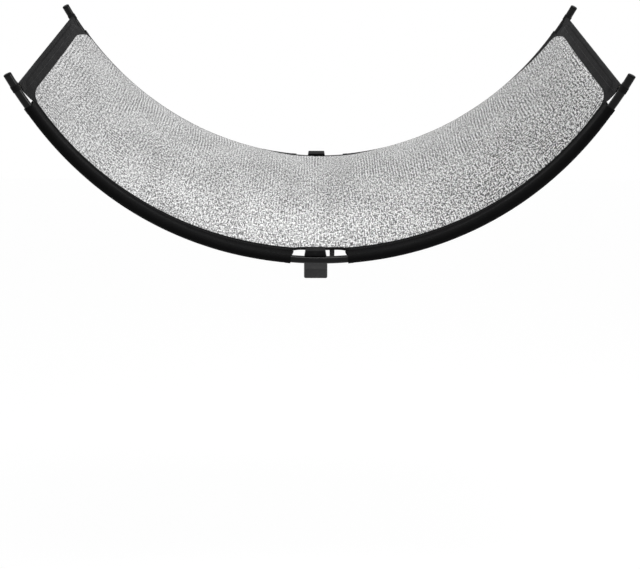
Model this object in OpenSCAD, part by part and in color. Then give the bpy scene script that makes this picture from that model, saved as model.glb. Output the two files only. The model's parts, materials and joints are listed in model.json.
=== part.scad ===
// Curved panel reflector: a silver cloth stretched between two arched rails, on a tilting stand bracket.
// Millimetres, +Z up, +X along the arch's span, +Y to the rear. The origin is the mouth of the stand socket.

/* [Arch] */
// Radius of the rails' centre line
arch_r = 760; // [650:10:900]
// Angle from the middle of the arch to the end of a rail
rail_end_angle = 67.5; // [50:0.5:75]
// Lean of each rail towards the other, from the pull of the cloth at the ends
rail_lean = 3.3; // [0:0.1:5]
// Distance between the centre lines of the front and rear rails
rail_spacing = 600; // [480:10:750]
// Outside diameter of the rails and centre tubes
rail_d = 19; // [17:0.5:22]
// Wall of the rails and centre tubes
rail_wall = 1.5; // [1:0.1:2.5]

/* [Rail joints] */
// Angle from the middle of the arch to the end of a centre tube
joint_angle = 10; // [8.5:0.5:14]
// Length of ferrule inside the centre tube, with the same length inside the rail
ferrule_reach = 60; // [40:5:70]
// Wall of the ferrules
ferrule_wall = 1.5; // [1:0.1:2]
// Diameter of the flush rivet that holds each ferrule in its rail
rivet_d = 4; // [3:0.5:5]
// Length of the plug inside an end cap
cap_plug = 14; // [8:1:20]
// Gap all round between pieces that slide or turn in each other
slip = 0.05; // [0.02:0.01:0.1]

/* [Cloth] */
// Thickness of the black base cloth
cloth_t = 1.2; // [0.8:0.1:2]
// Thickness of the silver cloth
silver_t = 0.5; // [0.3:0.1:1]
// Thickness of the sleeves and corner loops
sleeve_t = 0.8; // [0.6:0.1:1.5]
// Gap between a rail and the inside of its sleeve
sleeve_ease = 0.7; // [0.4:0.1:1.5]
// Distance from a rail's centre to the seam between its sleeve and the base cloth
seam_reach = 24; // [23:1:40]
// Height of the front seam above the front rail's centre
front_lift = 10; // [6:1:14]
// Height of the rear seam above the rear rail's centre
rear_lift = 17; // [6:1:22]
// Rise of the cloth at the middle of its width, from the pull along its length
cloth_rise = 80; // [30:5:110]
// Width of the notch that bares the centre tubes
notch_w = 144; // [110:2:180]
// Length of rail from the end of its sleeve to its own end
sleeve_gap = 80; // [72:2:130]
// Length of rail from the middle of the end hem to its own end
hem_inset = 32; // [24:1:40]
// Gap between a rail and the corners of the base cloth, which reach out past the seams
corner_gap = 2.5; // [1.5:0.5:6]
// Height of the base cloth's corners above the rails' centres
corner_lift = 4; // [0:1:8]
// How far the cloth's edge is drawn in at the middle of a notch
notch_pull = 6; // [0:0.5:12]
// Width of the corner loops
loop_w = 14; // [8:1:24]
// Gap between a rail and the inside of a corner loop
loop_ease = 0.4; // [0.3:0.1:1.5]
// Diameter of the end battens
batten_d = 8; // [5:0.5:10]
// Width of black border between the front seam and the silver cloth
front_border = 8; // [3:1:40]
// Width of black border between the front notch's edge and the silver cloth
notch_border = 5; // [1:1:20]
// Width of black border between the rear seam and the silver cloth
rear_border = 2; // [1:1:40]
// Width of black border between the end hem and the silver cloth
end_border = 28; // [15:1:80]
// Length of the silver cloth's rounded corners along the arch
silver_corner_l = 45; // [20:5:120]
// Width of the silver cloth's rounded corners across the arch
silver_corner_w = 80; // [20:5:120]

/* [Bracket] */
// Width of the cross bar
bar_w = 32; // [24:1:44]
// Height of the cross bar
bar_h = 14; // [12:1:24]
// Wall of the cross bar
bar_wall = 1.5; // [1:0.1:2.5]
// Drop from the rails' centre to the top of the cross bar
bar_drop = 12; // [12:1:20]
// Width of a clip at the tube
clip_base_w = 56; // [50:1:80]
// Width of a clip at its top
clip_top_w = 48; // [20:1:56]
// Height of a clip's top above the tube's centre
clip_rise = 26; // [16:1:34]
// Depth of a clip behind the tube's centre
clip_depth = 22; // [16:1:22]
// Length of the plug on each clip that fills the end of the cross bar
clip_plug = 25; // [16:1:40]
// Diameter of the clip and tongue screws
screw_d = 5; // [4:0.5:6]

/* [Tilt head] */
// Tilt of the panel at rest, rear edge up
tilt = 24; // [0:1:40]
// Distance from the front rail back to the tilt pivot
pivot_back = 200; // [150:5:300]
// Drop from the rails' centre to the tilt pivot
pivot_drop = 75; // [65:1:110]
// Height of the tilt pivot above the mouth of the stand socket
pivot_height = 88; // [82:1:110]
// Sideways step from the stand's axis to the middle of the panel
head_offset = 10; // [0:1:14]
// Thickness of the tongue between the cheeks
tongue_t = 20; // [12:1:24]
// Radius of the tongue's round end
tongue_r = 16; // [13:1:16]
// Thickness of each cheek
cheek_t = 10; // [8:1:14]
// Thickness of each friction washer
washer_t = 1; // [0.5:0.1:2]
// Diameter of the pivot bolt
bolt_d = 8; // [6:0.5:8]
// Diameter of the tilt knob
knob_d = 66; // [36:1:70]
// Thickness of the tilt knob's grip
knob_t = 13; // [10:1:20]
// Length of the tilt knob's neck
knob_neck = 15; // [8:1:20]

/* [Stand block] */
// Width of the stand block
block_w = 64; // [54:1:72]
// Depth of the stand block
block_d = 44; // [40:1:60]
// Height of the stand block below its shoulders
block_h = 54; // [44:1:60]
// Radius of the stand block's upright edges
block_corner_r = 6; // [2:0.5:8]
// Radius of the stand block's lower edges at its two sides
block_foot_r = 4; // [1:0.5:8]
// Diameter of the stand socket
socket_d = 16.3; // [16.1:0.05:16.8]
// Depth of the stand socket
socket_depth = 38; // [30:1:40]
// Diameter of the stud that the socket takes
stud_d = 16; // [15.8:0.1:16]
// Diameter of the stand lock screw
lock_d = 8; // [6:0.5:8]
// Length of the stand lock's pressure shoe
shoe_len = 5; // [5:0.5:8]
// Distance that the stand lock backs off
lock_travel = 5; // [2:0.5:6]
// Length of the stand lock's threaded bush
bush_len = 13; // [10:1:18]
// Diameter of the stand lock knob
lock_knob_d = 32; // [24:1:36]
// Thickness of the stand lock knob's grip
lock_knob_t = 16; // [10:1:22]

/* [Hidden] */
$fn = 96;
rail_r = rail_d / 2;
rail_bore_r = rail_r - rail_wall;
ferrule_r = rail_bore_r - slip;
sleeve_in_r = rail_r + sleeve_ease;
sleeve_r = sleeve_in_r + sleeve_t;
deg_per_mm = 180 / (PI * arch_r);
reach_angle = ferrule_reach * deg_per_mm;
sleeve_end_angle = rail_end_angle - sleeve_gap * deg_per_mm;
notch_angle = notch_w / 2 * deg_per_mm;
hem_angle = rail_end_angle - hem_inset * deg_per_mm;
cap_plug_angle = cap_plug * deg_per_mm;
hem_r = batten_d / 2 + slip + sleeve_t;
loop_start_angle = hem_angle - loop_w / 2 * deg_per_mm;
loop_end_angle = hem_angle + loop_w / 2 * deg_per_mm;
loop_in_r = rail_r + loop_ease;
corner_reach = rail_r + corner_gap;
seam_gap = 0.3;
cloth_w = rail_spacing - 2 * seam_reach;
cloth_end_angle = hem_angle - (hem_r + seam_gap) / (arch_r - rear_lift) * 180 / PI;
silver_end_angle = cloth_end_angle - end_border * deg_per_mm;
// Power that makes the cloth's edge run out fast to the rails past the sleeves
corner_flare = 0.5;
// Power that keeps a notch's edge straight across its middle and rounds it at its ends
notch_flat = 6;
// Columns of the base cloth's mesh between the ends of the sleeves
cloth_columns = 40;
// Columns of the base cloth's mesh past the sleeves, at each end
end_columns = 3;
// Columns of the silver cloth's mesh between its corners
silver_columns = 30;
// Columns of the silver cloth's mesh in each rounded corner
corner_columns = 6;
// Rows of both meshes across the width
cloth_rows = 12;
bar_top = -bar_drop;
bar_bottom = bar_top - bar_h;
plug_ease = 0.1;
screw_ease = 0.15;
clip_screw_x = 18;
screw_head_r = 0.9 * screw_d;
screw_head_h = 0.6 * screw_d;
bar_screw_d = 4;
flange_t = 5;
flange_len = 70;
flange_edge = 2;
tongue_screw_x = 10;
tongue_screw_y = 28;
tongue_top_half = 20;
bolt_r = bolt_d / 2;
bolt_hex = 1.625 * bolt_d;
bolt_head_h = 0.66 * bolt_d;
slot_half = tongue_t / 2 + slip + washer_t;
cheek_out = slot_half + cheek_t;
yoke_r = tongue_r + 2;
slot_floor = pivot_height - tongue_r - 2;
knob_washer_t = 2;
knob_washer_r = bolt_r + 5;
knob_neck_r = bolt_r + 3.5;
neck_start = cheek_out + slip + knob_washer_t + slip;
grip_start = neck_start + knob_neck;
grip_end = grip_start + knob_t;
knob_insert_r = bolt_r + 1.5;
knob_end_wall = 3;
bolt_end = grip_end - knob_end_wall - 1;
knob_lobes = 8;
lock_z = socket_depth / 2;
lock_r = lock_d / 2;
shoe_start = stud_d / 2;
shoe_end = shoe_start + shoe_len;
dog_r = lock_r / 2;
dog_len = shoe_len / 2;
bush_start = shoe_end + lock_travel + 1;
bush_end = bush_start + bush_len;
bush_r = lock_r + 2;
boss_r = bush_r + 4;
lock_neck_start = bush_end + 2;
lock_neck_r = lock_r + 4;
lock_neck = 5;
lock_grip_start = lock_neck_start + lock_neck;
lock_grip_end = lock_grip_start + lock_knob_t;
lock_end_wall = 3;
lock_lobes = 6;

// Each rail: name, 1 for the right side or -1 for the left, and its line
RAILS = [
    ["front_left", -1, "front"],
    ["front_right", 1, "front"],
    ["rear_left", -1, "rear"],
    ["rear_right", 1, "rear"],
];

// Places the panel, drawn with the front rail's lowest centre at zero, on the tilt pivot
module on_pivot() {
    translate([head_offset, 0, pivot_height])
        rotate([tilt, 0, 0])
            translate([0, -pivot_back, pivot_drop])
                children();
}

// Places the bracket under the panel, in line with the stand
module on_head() {
    on_pivot() translate([-head_offset, 0, 0]) children();
}

// Leans a front piece in towards the rear, about the lowest point of the front rail
module leaned() {
    rotate([-rail_lean, 0, 0]) children();
}

// Sweeps a section along the arch: the section's x is the radius and its y the distance behind the rail
module along_arch(from_angle, to_angle) {
    translate([0, 0, arch_r])
        rotate([-90, 0, 0])
            rotate([0, 0, 90 - to_angle])
                rotate_extrude(angle = to_angle - from_angle)
                    children();
}

// Carries a piece drawn at the bottom of the arch round to an angle
module at_angle(angle) {
    translate([0, 0, arch_r])
        rotate([0, -angle, 0])
            translate([0, 0, -arch_r])
                children();
}

// Keeps a right-hand piece or mirrors it to the left
module on_side(side) {
    if (side > 0) children();
    else mirror([1, 0, 0]) children();
}

// Turns a front piece into the matching rear piece
module at_rear() {
    translate([0, rail_spacing, 0]) mirror([0, 1, 0]) children();
}

// Keeps a piece at the front rail or turns it to the rear one, leaning with the rail
module on_line(line) {
    if (line == "front") leaned() children();
    else at_rear() leaned() children();
}

// A rod along +X, from its start to its end
module rod_x(r, start, end) {
    translate([start, 0, 0]) rotate([0, 90, 0]) cylinder(r = r, h = end - start);
}

// A rod from one point to another
module rod_between(r, start, end) {
    along = end - start;
    translate(start)
        rotate([0, acos(along[2] / norm(along)), atan2(along[1], along[0])])
            cylinder(r = r, h = norm(along));
}

// A rod along +Y, from its start to its end
module rod_y(r, start, end) {
    translate([0, start, 0]) rotate([-90, 0, 0]) cylinder(r = r, h = end - start);
}

module ring(outer_r, inner_r) {
    difference() {
        circle(r = outer_r);
        circle(r = inner_r);
    }
}

// A rectangle with round corners
module round_rect(w, d, r) {
    square([w - 2 * r, d], center = true);
    square([w, d - 2 * r], center = true);
    for (x = [-1, 1], y = [-1, 1])
        translate([x * (w / 2 - r), y * (d / 2 - r)]) circle(r = r);
}

// A knob's grip along +Z: a disc with finger scallops and an eased outer edge
module scalloped_grip(d, t, lobes) {
    ease = 1.5;
    scallop_r = 0.13 * d;
    difference() {
        union() {
            cylinder(d = d, h = t - ease);
            translate([0, 0, t - ease]) cylinder(d1 = d, d2 = d - 2 * ease, h = ease);
        }
        for (i = [0 : lobes - 1])
            rotate([0, 0, i * 360 / lobes])
                translate([d / 2 + 0.45 * scallop_r, 0, -1]) cylinder(r = scallop_r, h = t + 2);
    }
}

// A point behind the front rail and above it, at an angle round its leaning arch
function front_point(angle, back, n) =
    let (z = arch_r - (arch_r - n) * cos(angle))
    [(arch_r - n) * sin(angle), back * cos(rail_lean) + z * sin(rail_lean), z * cos(rail_lean) - back * sin(rail_lean)];

// The matching point in front of the rear rail
function rear_point(angle, ahead, n) =
    let (p = front_point(angle, ahead, n))
    [p[0], rail_spacing - p[1], p[2]];

// Share of the way from the ends of the sleeves to the end hem
function past_sleeve(angle) = max(0, (abs(angle) - sleeve_end_angle) / (hem_angle - sleeve_end_angle));

// Height of the cloth's edge over a rail's centre, which falls from the seam's lift to the corner's past the sleeves
function edge_lift(angle, lift) = lift + (corner_lift - lift) * past_sleeve(angle);

// A point of the cloth: u runs from the front seam to the rear seam, and lift is along the arch's radius
function cloth_point(angle, u, lift) =
    let (rise = cloth_rise * 4 * u * (1 - u) * (1 - pow(angle / hem_angle, 2)) + lift)
    front_point(angle, seam_reach, edge_lift(angle, front_lift)) * (1 - u)
    + rear_point(angle, seam_reach, edge_lift(angle, rear_lift)) * u
    + rise * [-sin(angle), 0, cos(angle)];

// One column of a sheet's points across the width, raised by lift
function cloth_column(angle, front_u, rear_u, lift) = [
    for (j = [0 : cloth_rows]) cloth_point(angle, front_u + (rear_u - front_u) * j / cloth_rows, lift)
];

// A closed sheet from columns of [angle, front edge, rear edge], between two heights over the cloth's middle layer
module sheet(columns, low, high) {
    across = cloth_rows + 1;
    last = len(columns) - 1;
    count = len(columns) * across;
    lower = [for (c = columns) each cloth_column(c[0], c[1], c[2], low)];
    upper = [for (c = columns) each cloth_column(c[0], c[1], c[2], high)];
    faces = concat(
        [for (i = [0 : last - 1], j = [0 : cloth_rows - 1]) let (p = i * across + j)
            each [[p, p + across, p + across + 1], [p, p + across + 1, p + 1]]],
        [for (i = [0 : last - 1], j = [0 : cloth_rows - 1]) let (p = count + i * across + j)
            each [[p, p + across + 1, p + across], [p, p + 1, p + across + 1]]],
        [for (i = [0 : last - 1]) let (p = i * across)
            each [[p, p + count, p + count + across], [p, p + count + across, p + across]]],
        [for (i = [0 : last - 1]) let (p = i * across + cloth_rows)
            each [[p, p + across, p + count + across], [p, p + count + across, p + count]]],
        [for (j = [0 : cloth_rows - 1])
            each [[j, j + 1, j + count + 1], [j, j + count + 1, j + count]]],
        [for (j = [0 : cloth_rows - 1]) let (p = last * across + j)
            each [[p, p + count, p + count + 1], [p, p + count + 1, p + 1]]]
    );
    polyhedron(points = concat(lower, upper), faces = faces, convexity = 10);
}

// A drop: a round end of radius r, drawn out to a tip by two straight sides
module drop(r, tip) {
    // The sides bite this far into the round end
    bite = 0.02;
    toward = atan2(tip[1], tip[0]);
    open = acos((r - bite) / norm(tip));
    circle(r = r);
    polygon([
        [0, 0],
        (r - bite) * [cos(toward - open), sin(toward - open)],
        tip,
        (r - bite) * [cos(toward + open), sin(toward + open)],
    ]);
}

// Sleeve section: cloth that goes round the front rail and meets itself at the seam
module sleeve_section(lift) {
    tip = [-lift, seam_reach - seam_gap];
    translate([arch_r, 0])
        difference() {
            drop(sleeve_r, tip);
            drop(sleeve_in_r, tip * sleeve_in_r / sleeve_r);
        }
}

// How far a notch draws the cloth's edge in, as a share of the width
function drawn_in(angle) = notch_pull / cloth_w * max(0, 1 - pow(angle / notch_angle, notch_flat));

// A column of the base cloth, which reaches out towards the rails past the ends of the sleeves
function base_column(angle) =
    let (
        out = (seam_reach - corner_reach) / cloth_w * pow(past_sleeve(angle), corner_flare),
        inset = drawn_in(angle) - out
    )
    [angle, inset, 1 - inset];

module base_cloth() {
    end_step = (cloth_end_angle - sleeve_end_angle) / end_columns;
    columns = concat(
        [for (i = [end_columns : -1 : 1]) base_column(-sleeve_end_angle - i * end_step)],
        [for (i = [0 : cloth_columns]) base_column(sleeve_end_angle * (2 * i / cloth_columns - 1))],
        [for (i = [1 : end_columns]) base_column(sleeve_end_angle + i * end_step)]
    );
    color([0.12, 0.12, 0.13]) on_pivot() sheet(columns, -cloth_t / 2, cloth_t / 2);
}

module silver_cloth() {
    front_u = front_border / cloth_w;
    rear_u = 1 - rear_border / cloth_w;
    // Each corner column: how far it lies from the silver's end, and how far the round corner insets it
    corner = [
        for (k = [0 : corner_columns]) let (turn = 90 * k / corner_columns)
            [silver_corner_l * (1 - cos(turn)), silver_corner_w * (1 - sin(turn)) / cloth_w]
    ];
    straight_end = silver_end_angle - silver_corner_l * deg_per_mm;
    columns = concat(
        [for (k = [0 : corner_columns])
            [-silver_end_angle + corner[k][0] * deg_per_mm, front_u + corner[k][1], rear_u - corner[k][1]]],
        [for (i = [1 : silver_columns - 1])
            let (angle = straight_end * (2 * i / silver_columns - 1), inset = drawn_in(angle))
                [angle, max(front_u, inset + notch_border / cloth_w), rear_u - inset]],
        [for (k = [corner_columns : -1 : 0])
            [silver_end_angle - corner[k][0] * deg_per_mm, front_u + corner[k][1], rear_u - corner[k][1]]]
    );
    color([0.78, 0.79, 0.8]) on_pivot() sheet(columns, cloth_t / 2, cloth_t / 2 + silver_t);
}

module sleeve(side, line) {
    color([0.1, 0.1, 0.11])
        on_pivot() on_side(side) on_line(line)
            along_arch(notch_angle, sleeve_end_angle) sleeve_section(line == "front" ? front_lift : rear_lift);
}

// Loop section: a band round the front rail, drawn out to the end of the hem
module loop_section() {
    tip = [-corner_lift, corner_reach - seam_gap];
    loop_r = loop_in_r + sleeve_t;
    translate([arch_r, 0])
        difference() {
            drop(loop_r, tip);
            drop(loop_in_r, tip * loop_in_r / loop_r);
        }
}

module corner_loops() {
    color([0.14, 0.14, 0.15])
        on_pivot()
            for (r = RAILS)
                on_side(r[1]) on_line(r[2])
                    along_arch(loop_start_angle, loop_end_angle) loop_section();
}

// Ends of the right end hem, and the direction from the front one to the rear one
hem_front = front_point(hem_angle, corner_reach, corner_lift);
hem_rear = rear_point(hem_angle, corner_reach, corner_lift);
hem_along = (hem_rear - hem_front) / norm(hem_rear - hem_front);

module end_hem(side) {
    color([0.16, 0.16, 0.17])
        on_pivot() on_side(side)
            difference() {
                rod_between(hem_r, hem_front, hem_rear);
                rod_between(batten_d / 2 + slip, hem_front - hem_along, hem_rear + hem_along);
            }
}

module end_batten(side) {
    end_gap = 2;
    color([0.55, 0.55, 0.5])
        on_pivot() on_side(side)
            rod_between(batten_d / 2, hem_front + end_gap * hem_along, hem_rear - end_gap * hem_along);
}

// Hole or pin of a ferrule's rivet, from outside the arch into the ferrule's bore
module rivet_rod(r, start, end) {
    at_angle(joint_angle + reach_angle / 2)
        translate([0, 0, -start]) cylinder(r = r, h = start - end);
}

module rail(side, line) {
    color([0.2, 0.2, 0.21])
        on_pivot() on_side(side) on_line(line)
            difference() {
                along_arch(joint_angle, rail_end_angle)
                    translate([arch_r, 0]) ring(rail_r, rail_bore_r);
                rivet_rod(rivet_d / 2 + slip, rail_r + 1, 0);
            }
}

module ferrule(side, line) {
    color([0.72, 0.73, 0.75])
        on_pivot() on_side(side) on_line(line)
            difference() {
                along_arch(joint_angle - reach_angle, joint_angle + reach_angle)
                    translate([arch_r, 0]) ring(ferrule_r, ferrule_r - ferrule_wall);
                rivet_rod(rivet_d / 2 + slip, rail_r + 1, 0);
            }
}

module rivet(side, line) {
    color([0.65, 0.65, 0.67])
        on_pivot() on_side(side) on_line(line)
            rivet_rod(rivet_d / 2, rail_r - 0.3, ferrule_r - ferrule_wall - 0.6);
}

module cap(side, line) {
    rim = 2.5;
    crown = 1.8;
    color([0.08, 0.08, 0.09])
        on_pivot() on_side(side) on_line(line) {
            along_arch(rail_end_angle - cap_plug_angle, rail_end_angle)
                translate([arch_r, 0]) circle(r = rail_bore_r - slip);
            at_angle(rail_end_angle)
            {
                rod_x(rail_r, 0, rim);
                translate([rim, 0, 0])
                    rotate([0, 90, 0]) cylinder(r1 = rail_r, r2 = rail_r - crown, h = crown);
            }
        }
}

// Centre tube of the front rail line, with the two screw holes in its inboard wall
module centre_tube() {
    difference() {
        along_arch(-joint_angle, joint_angle)
            translate([arch_r, 0]) ring(rail_r, rail_bore_r);
        for (x = [-clip_screw_x, clip_screw_x])
            translate([x - head_offset, 0, 0]) rod_y(screw_d / 2 + slip, 0, rail_r + 1);
    }
}

module front_centre_tube() {
    color([0.2, 0.2, 0.21]) on_pivot() on_line("front") centre_tube();
}

module rear_centre_tube() {
    color([0.2, 0.2, 0.21]) on_pivot() on_line("rear") centre_tube();
}

// Clip behind the front tube: a tapered block with a groove for the tube and a plug for the cross bar
module clip() {
    shoulder = 2;
    plug_w = bar_w - 2 * (bar_wall + plug_ease);
    plug_h = bar_h - 2 * (bar_wall + plug_ease);
    difference() {
        union() {
            translate([0, clip_depth, 0])
                rotate([90, 0, 0])
                    linear_extrude(clip_depth)
                        polygon([
                            [-clip_base_w / 2, bar_bottom],
                            [clip_base_w / 2, bar_bottom],
                            [clip_base_w / 2, shoulder],
                            [clip_top_w / 2, clip_rise],
                            [-clip_top_w / 2, clip_rise],
                            [-clip_base_w / 2, shoulder],
                        ]);
            translate([-plug_w / 2, clip_depth - 1, bar_bottom + bar_wall + plug_ease])
                cube([plug_w, clip_plug + 1, plug_h]);
        }
        translate([head_offset, 0, 0]) leaned()
            along_arch(-joint_angle, joint_angle)
                translate([arch_r, 0]) circle(r = rail_r + slip);
        leaned()
            for (x = [-clip_screw_x, clip_screw_x])
                translate([x, 0, 0]) rod_y(screw_d / 2 + screw_ease, 0, clip_depth + 1);
        bar_screw_place() cylinder(r = bar_screw_d / 2 + slip, h = bar_h);
    }
}

// Where a bar screw enters the front end of the cross bar from below
module bar_screw_place() {
    translate([0, clip_depth + clip_plug / 2, bar_bottom]) children();
}

module front_clip() {
    color([0.13, 0.13, 0.14]) on_head() clip();
}

module rear_clip() {
    color([0.13, 0.13, 0.14]) on_head() at_rear() clip();
}

// Screws through the front clip, square to its leaning tube
module clip_screws() {
    seat = clip_depth / cos(rail_lean) + screw_head_r * tan(rail_lean);
    leaned()
        for (x = [-clip_screw_x, clip_screw_x])
            translate([x, 0, 0]) {
                rod_y(screw_d / 2, rail_bore_r - 3, seat + 0.5);
                rod_y(screw_head_r, seat, seat + screw_head_h);
            }
}

module front_clip_screws() {
    color([0.6, 0.6, 0.62]) on_head() clip_screws();
}

module rear_clip_screws() {
    color([0.6, 0.6, 0.62]) on_head() at_rear() clip_screws();
}

// Places of the four screws that hold the tongue's flange under the cross bar
module tongue_screw_places() {
    for (x = [-tongue_screw_x, tongue_screw_x], y = [-tongue_screw_y, tongue_screw_y])
        translate([x, pivot_back + y, bar_bottom]) children();
}

module cross_bar() {
    start = clip_depth;
    length = rail_spacing - 2 * clip_depth;
    color([0.17, 0.17, 0.18])
        on_head()
            difference() {
                translate([-bar_w / 2, start, bar_bottom]) cube([bar_w, length, bar_h]);
                translate([-bar_w / 2 + bar_wall, start - 1, bar_bottom + bar_wall])
                    cube([bar_w - 2 * bar_wall, length + 2, bar_h - 2 * bar_wall]);
                tongue_screw_places()
                    translate([0, 0, -1]) cylinder(r = screw_d / 2 + slip, h = bar_wall + 2);
                bar_screw_place()
                    translate([0, 0, -1]) cylinder(r = bar_screw_d / 2 + slip, h = bar_wall + 2);
                at_rear() bar_screw_place()
                    translate([0, 0, -1]) cylinder(r = bar_screw_d / 2 + slip, h = bar_wall + 2);
            }
}

module bar_screw() {
    head_h = 2.2;
    bar_screw_place() {
        cylinder(r = bar_screw_d / 2, h = bar_h - bar_wall - 2);
        translate([0, 0, -head_h]) cylinder(r = bar_screw_d * 0.9, h = head_h);
    }
}

module bar_screws() {
    color([0.6, 0.6, 0.62]) on_head() {
        bar_screw();
        at_rear() bar_screw();
    }
}

// Tongue under the cross bar, with a bore for the pivot bolt
module tilt_tongue() {
    flange_w = max(bar_w, tongue_t + 2 * flange_edge);
    top = bar_bottom - flange_t;
    color([0.24, 0.24, 0.25])
        on_head()
            difference() {
                union() {
                    translate([-flange_w / 2, pivot_back - flange_len / 2, top])
                        cube([flange_w, flange_len, flange_t]);
                    translate([-tongue_t / 2, pivot_back, -pivot_drop])
                        rotate([90, 0, 90])
                            linear_extrude(tongue_t) {
                                circle(r = tongue_r);
                                polygon([
                                    [-tongue_r, 0],
                                    [tongue_r, 0],
                                    [tongue_top_half, top + pivot_drop + 0.5],
                                    [-tongue_top_half, top + pivot_drop + 0.5],
                                ]);
                            }
                }
                translate([0, pivot_back, -pivot_drop])
                    rod_x(bolt_r + slip, -tongue_t, tongue_t);
                tongue_screw_places()
                    translate([0, 0, -flange_t - 1]) cylinder(r = screw_d / 2 + screw_ease, h = flange_t + 2);
            }
}

module tongue_screws() {
    color([0.6, 0.6, 0.62])
        on_head() tongue_screw_places() {
            translate([0, 0, -flange_t - 0.5]) cylinder(r = screw_d / 2, h = flange_t + bar_wall + 3);
            translate([0, 0, -flange_t - screw_head_h]) cylinder(r = screw_head_r, h = screw_head_h);
        }
}

// Block that sits on the stand: socket below, two cheeks above, boss for the stand lock behind
module stand_block() {
    color([0.2, 0.2, 0.21])
        difference() {
            union() {
                intersection() {
                    linear_extrude(block_h) round_rect(block_w, block_d, block_corner_r);
                    // Front outline, rounded at the foot and open above the block's top
                    translate([0, block_d, block_h])
                        rotate([90, 0, 0])
                            linear_extrude(2 * block_d) round_rect(block_w, 2 * block_h, block_foot_r);
                }
                // Shoulders and cheeks, shaped from the front and from the side
                intersection() {
                    translate([0, block_d / 2, 0])
                        rotate([90, 0, 0])
                            linear_extrude(block_d)
                                polygon([
                                    [-block_w / 2, block_h - 1],
                                    [block_w / 2, block_h - 1],
                                    [block_w / 2, block_h],
                                    [cheek_out, slot_floor + 2],
                                    [cheek_out, pivot_height + yoke_r],
                                    [-cheek_out, pivot_height + yoke_r],
                                    [-cheek_out, slot_floor + 2],
                                    [-block_w / 2, block_h],
                                ]);
                    translate([-block_w / 2, 0, 0])
                        rotate([90, 0, 90])
                            linear_extrude(block_w) {
                                translate([0, pivot_height]) circle(r = yoke_r);
                                polygon([
                                    [-block_d / 2 + block_corner_r, block_h - 1],
                                    [block_d / 2 - block_corner_r, block_h - 1],
                                    [yoke_r, slot_floor],
                                    [yoke_r, pivot_height],
                                    [-yoke_r, pivot_height],
                                    [-yoke_r, slot_floor],
                                ]);
                            }
                }
                translate([0, 0, lock_z]) rod_y(boss_r, block_d / 2 - 1, bush_end);
            }
            // Slot for the tongue and its washers
            translate([-slot_half, -block_d, slot_floor])
                cube([2 * slot_half, 2 * block_d, pivot_height]);
            // Pivot bolt's hole, and the hexagon that keeps its head from turning
            translate([0, 0, pivot_height]) {
                rod_x(bolt_r + slip, -block_w, block_w);
                translate([-cheek_out - 1, 0, 0])
                    rotate([0, 90, 0])
                        cylinder(r = bolt_hex / sqrt(3) + 0.1, h = bolt_head_h + 1, $fn = 6);
            }
            // Stand socket, shoe guide and bush seat
            translate([0, 0, -1]) cylinder(d = socket_d, h = socket_depth + 1);
            translate([0, 0, lock_z]) {
                rod_y(lock_r + slip, 0, bush_end);
                rod_y(bush_r + slip, bush_start, bush_end + 1);
            }
        }
}

module pivot_bolt() {
    color([0.62, 0.62, 0.64])
        translate([0, 0, pivot_height]) {
            rod_x(bolt_r, -cheek_out + bolt_head_h - 0.5, bolt_end);
            translate([-cheek_out, 0, 0])
                rotate([0, 90, 0]) cylinder(r = bolt_hex / sqrt(3), h = bolt_head_h, $fn = 6);
        }
}

module friction_washers() {
    color([0.45, 0.36, 0.28])
        translate([0, 0, pivot_height])
            for (side = [-1, 1])
                on_side(side)
                    difference() {
                        rod_x(tongue_r - 2, slot_half - washer_t, slot_half);
                        rod_x(bolt_r + slip, 0, slot_half + 1);
                    }
}

module knob_washer() {
    color([0.7, 0.7, 0.72])
        translate([cheek_out + slip, 0, pivot_height])
            difference() {
                rod_x(knob_washer_r, 0, knob_washer_t);
                rod_x(bolt_r + 2 * slip, -1, knob_washer_t + 1);
            }
}

module tilt_knob() {
    color([0.08, 0.08, 0.09])
        translate([0, 0, pivot_height])
            difference() {
                union() {
                    rod_x(knob_neck_r, neck_start, grip_start + 1);
                    translate([grip_start, 0, 0])
                        rotate([0, 90, 0]) scalloped_grip(knob_d, knob_t, knob_lobes);
                }
                rod_x(knob_insert_r + slip, neck_start - 1, grip_end - knob_end_wall);
            }
}

module tilt_knob_insert() {
    color([0.75, 0.6, 0.3])
        translate([0, 0, pivot_height])
            difference() {
                rod_x(knob_insert_r, neck_start, grip_end - knob_end_wall);
                rod_x(bolt_r + slip, neck_start - 1, grip_end);
            }
}

module stand_lock_shoe() {
    color([0.75, 0.6, 0.3])
        translate([0, 0, lock_z])
            difference() {
                rod_y(lock_r, shoe_start, shoe_end);
                rod_y(dog_r + slip, shoe_end - dog_len - slip, shoe_end + 1);
            }
}

module stand_lock_screw() {
    color([0.62, 0.62, 0.64])
        translate([0, 0, lock_z]) {
            rod_y(dog_r, shoe_end - dog_len, shoe_end + 1);
            rod_y(lock_r, shoe_end + slip, lock_grip_end - lock_end_wall);
        }
}

module stand_lock_knob() {
    color([0.08, 0.08, 0.09])
        translate([0, 0, lock_z])
            difference() {
                union() {
                    rod_y(lock_neck_r, lock_neck_start, lock_grip_start + 1);
                    translate([0, lock_grip_start, 0])
                        rotate([-90, 0, 0]) scalloped_grip(lock_knob_d, lock_knob_t, lock_lobes);
                }
                rod_y(lock_r + slip, lock_neck_start - 1, lock_grip_end - lock_end_wall);
            }
}

module stand_lock_bush() {
    color([0.75, 0.6, 0.3])
        translate([0, 0, lock_z])
            difference() {
                rod_y(bush_r, bush_start, bush_end);
                rod_y(lock_r + slip, bush_start - 1, bush_end + 1);
            }
}

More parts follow.
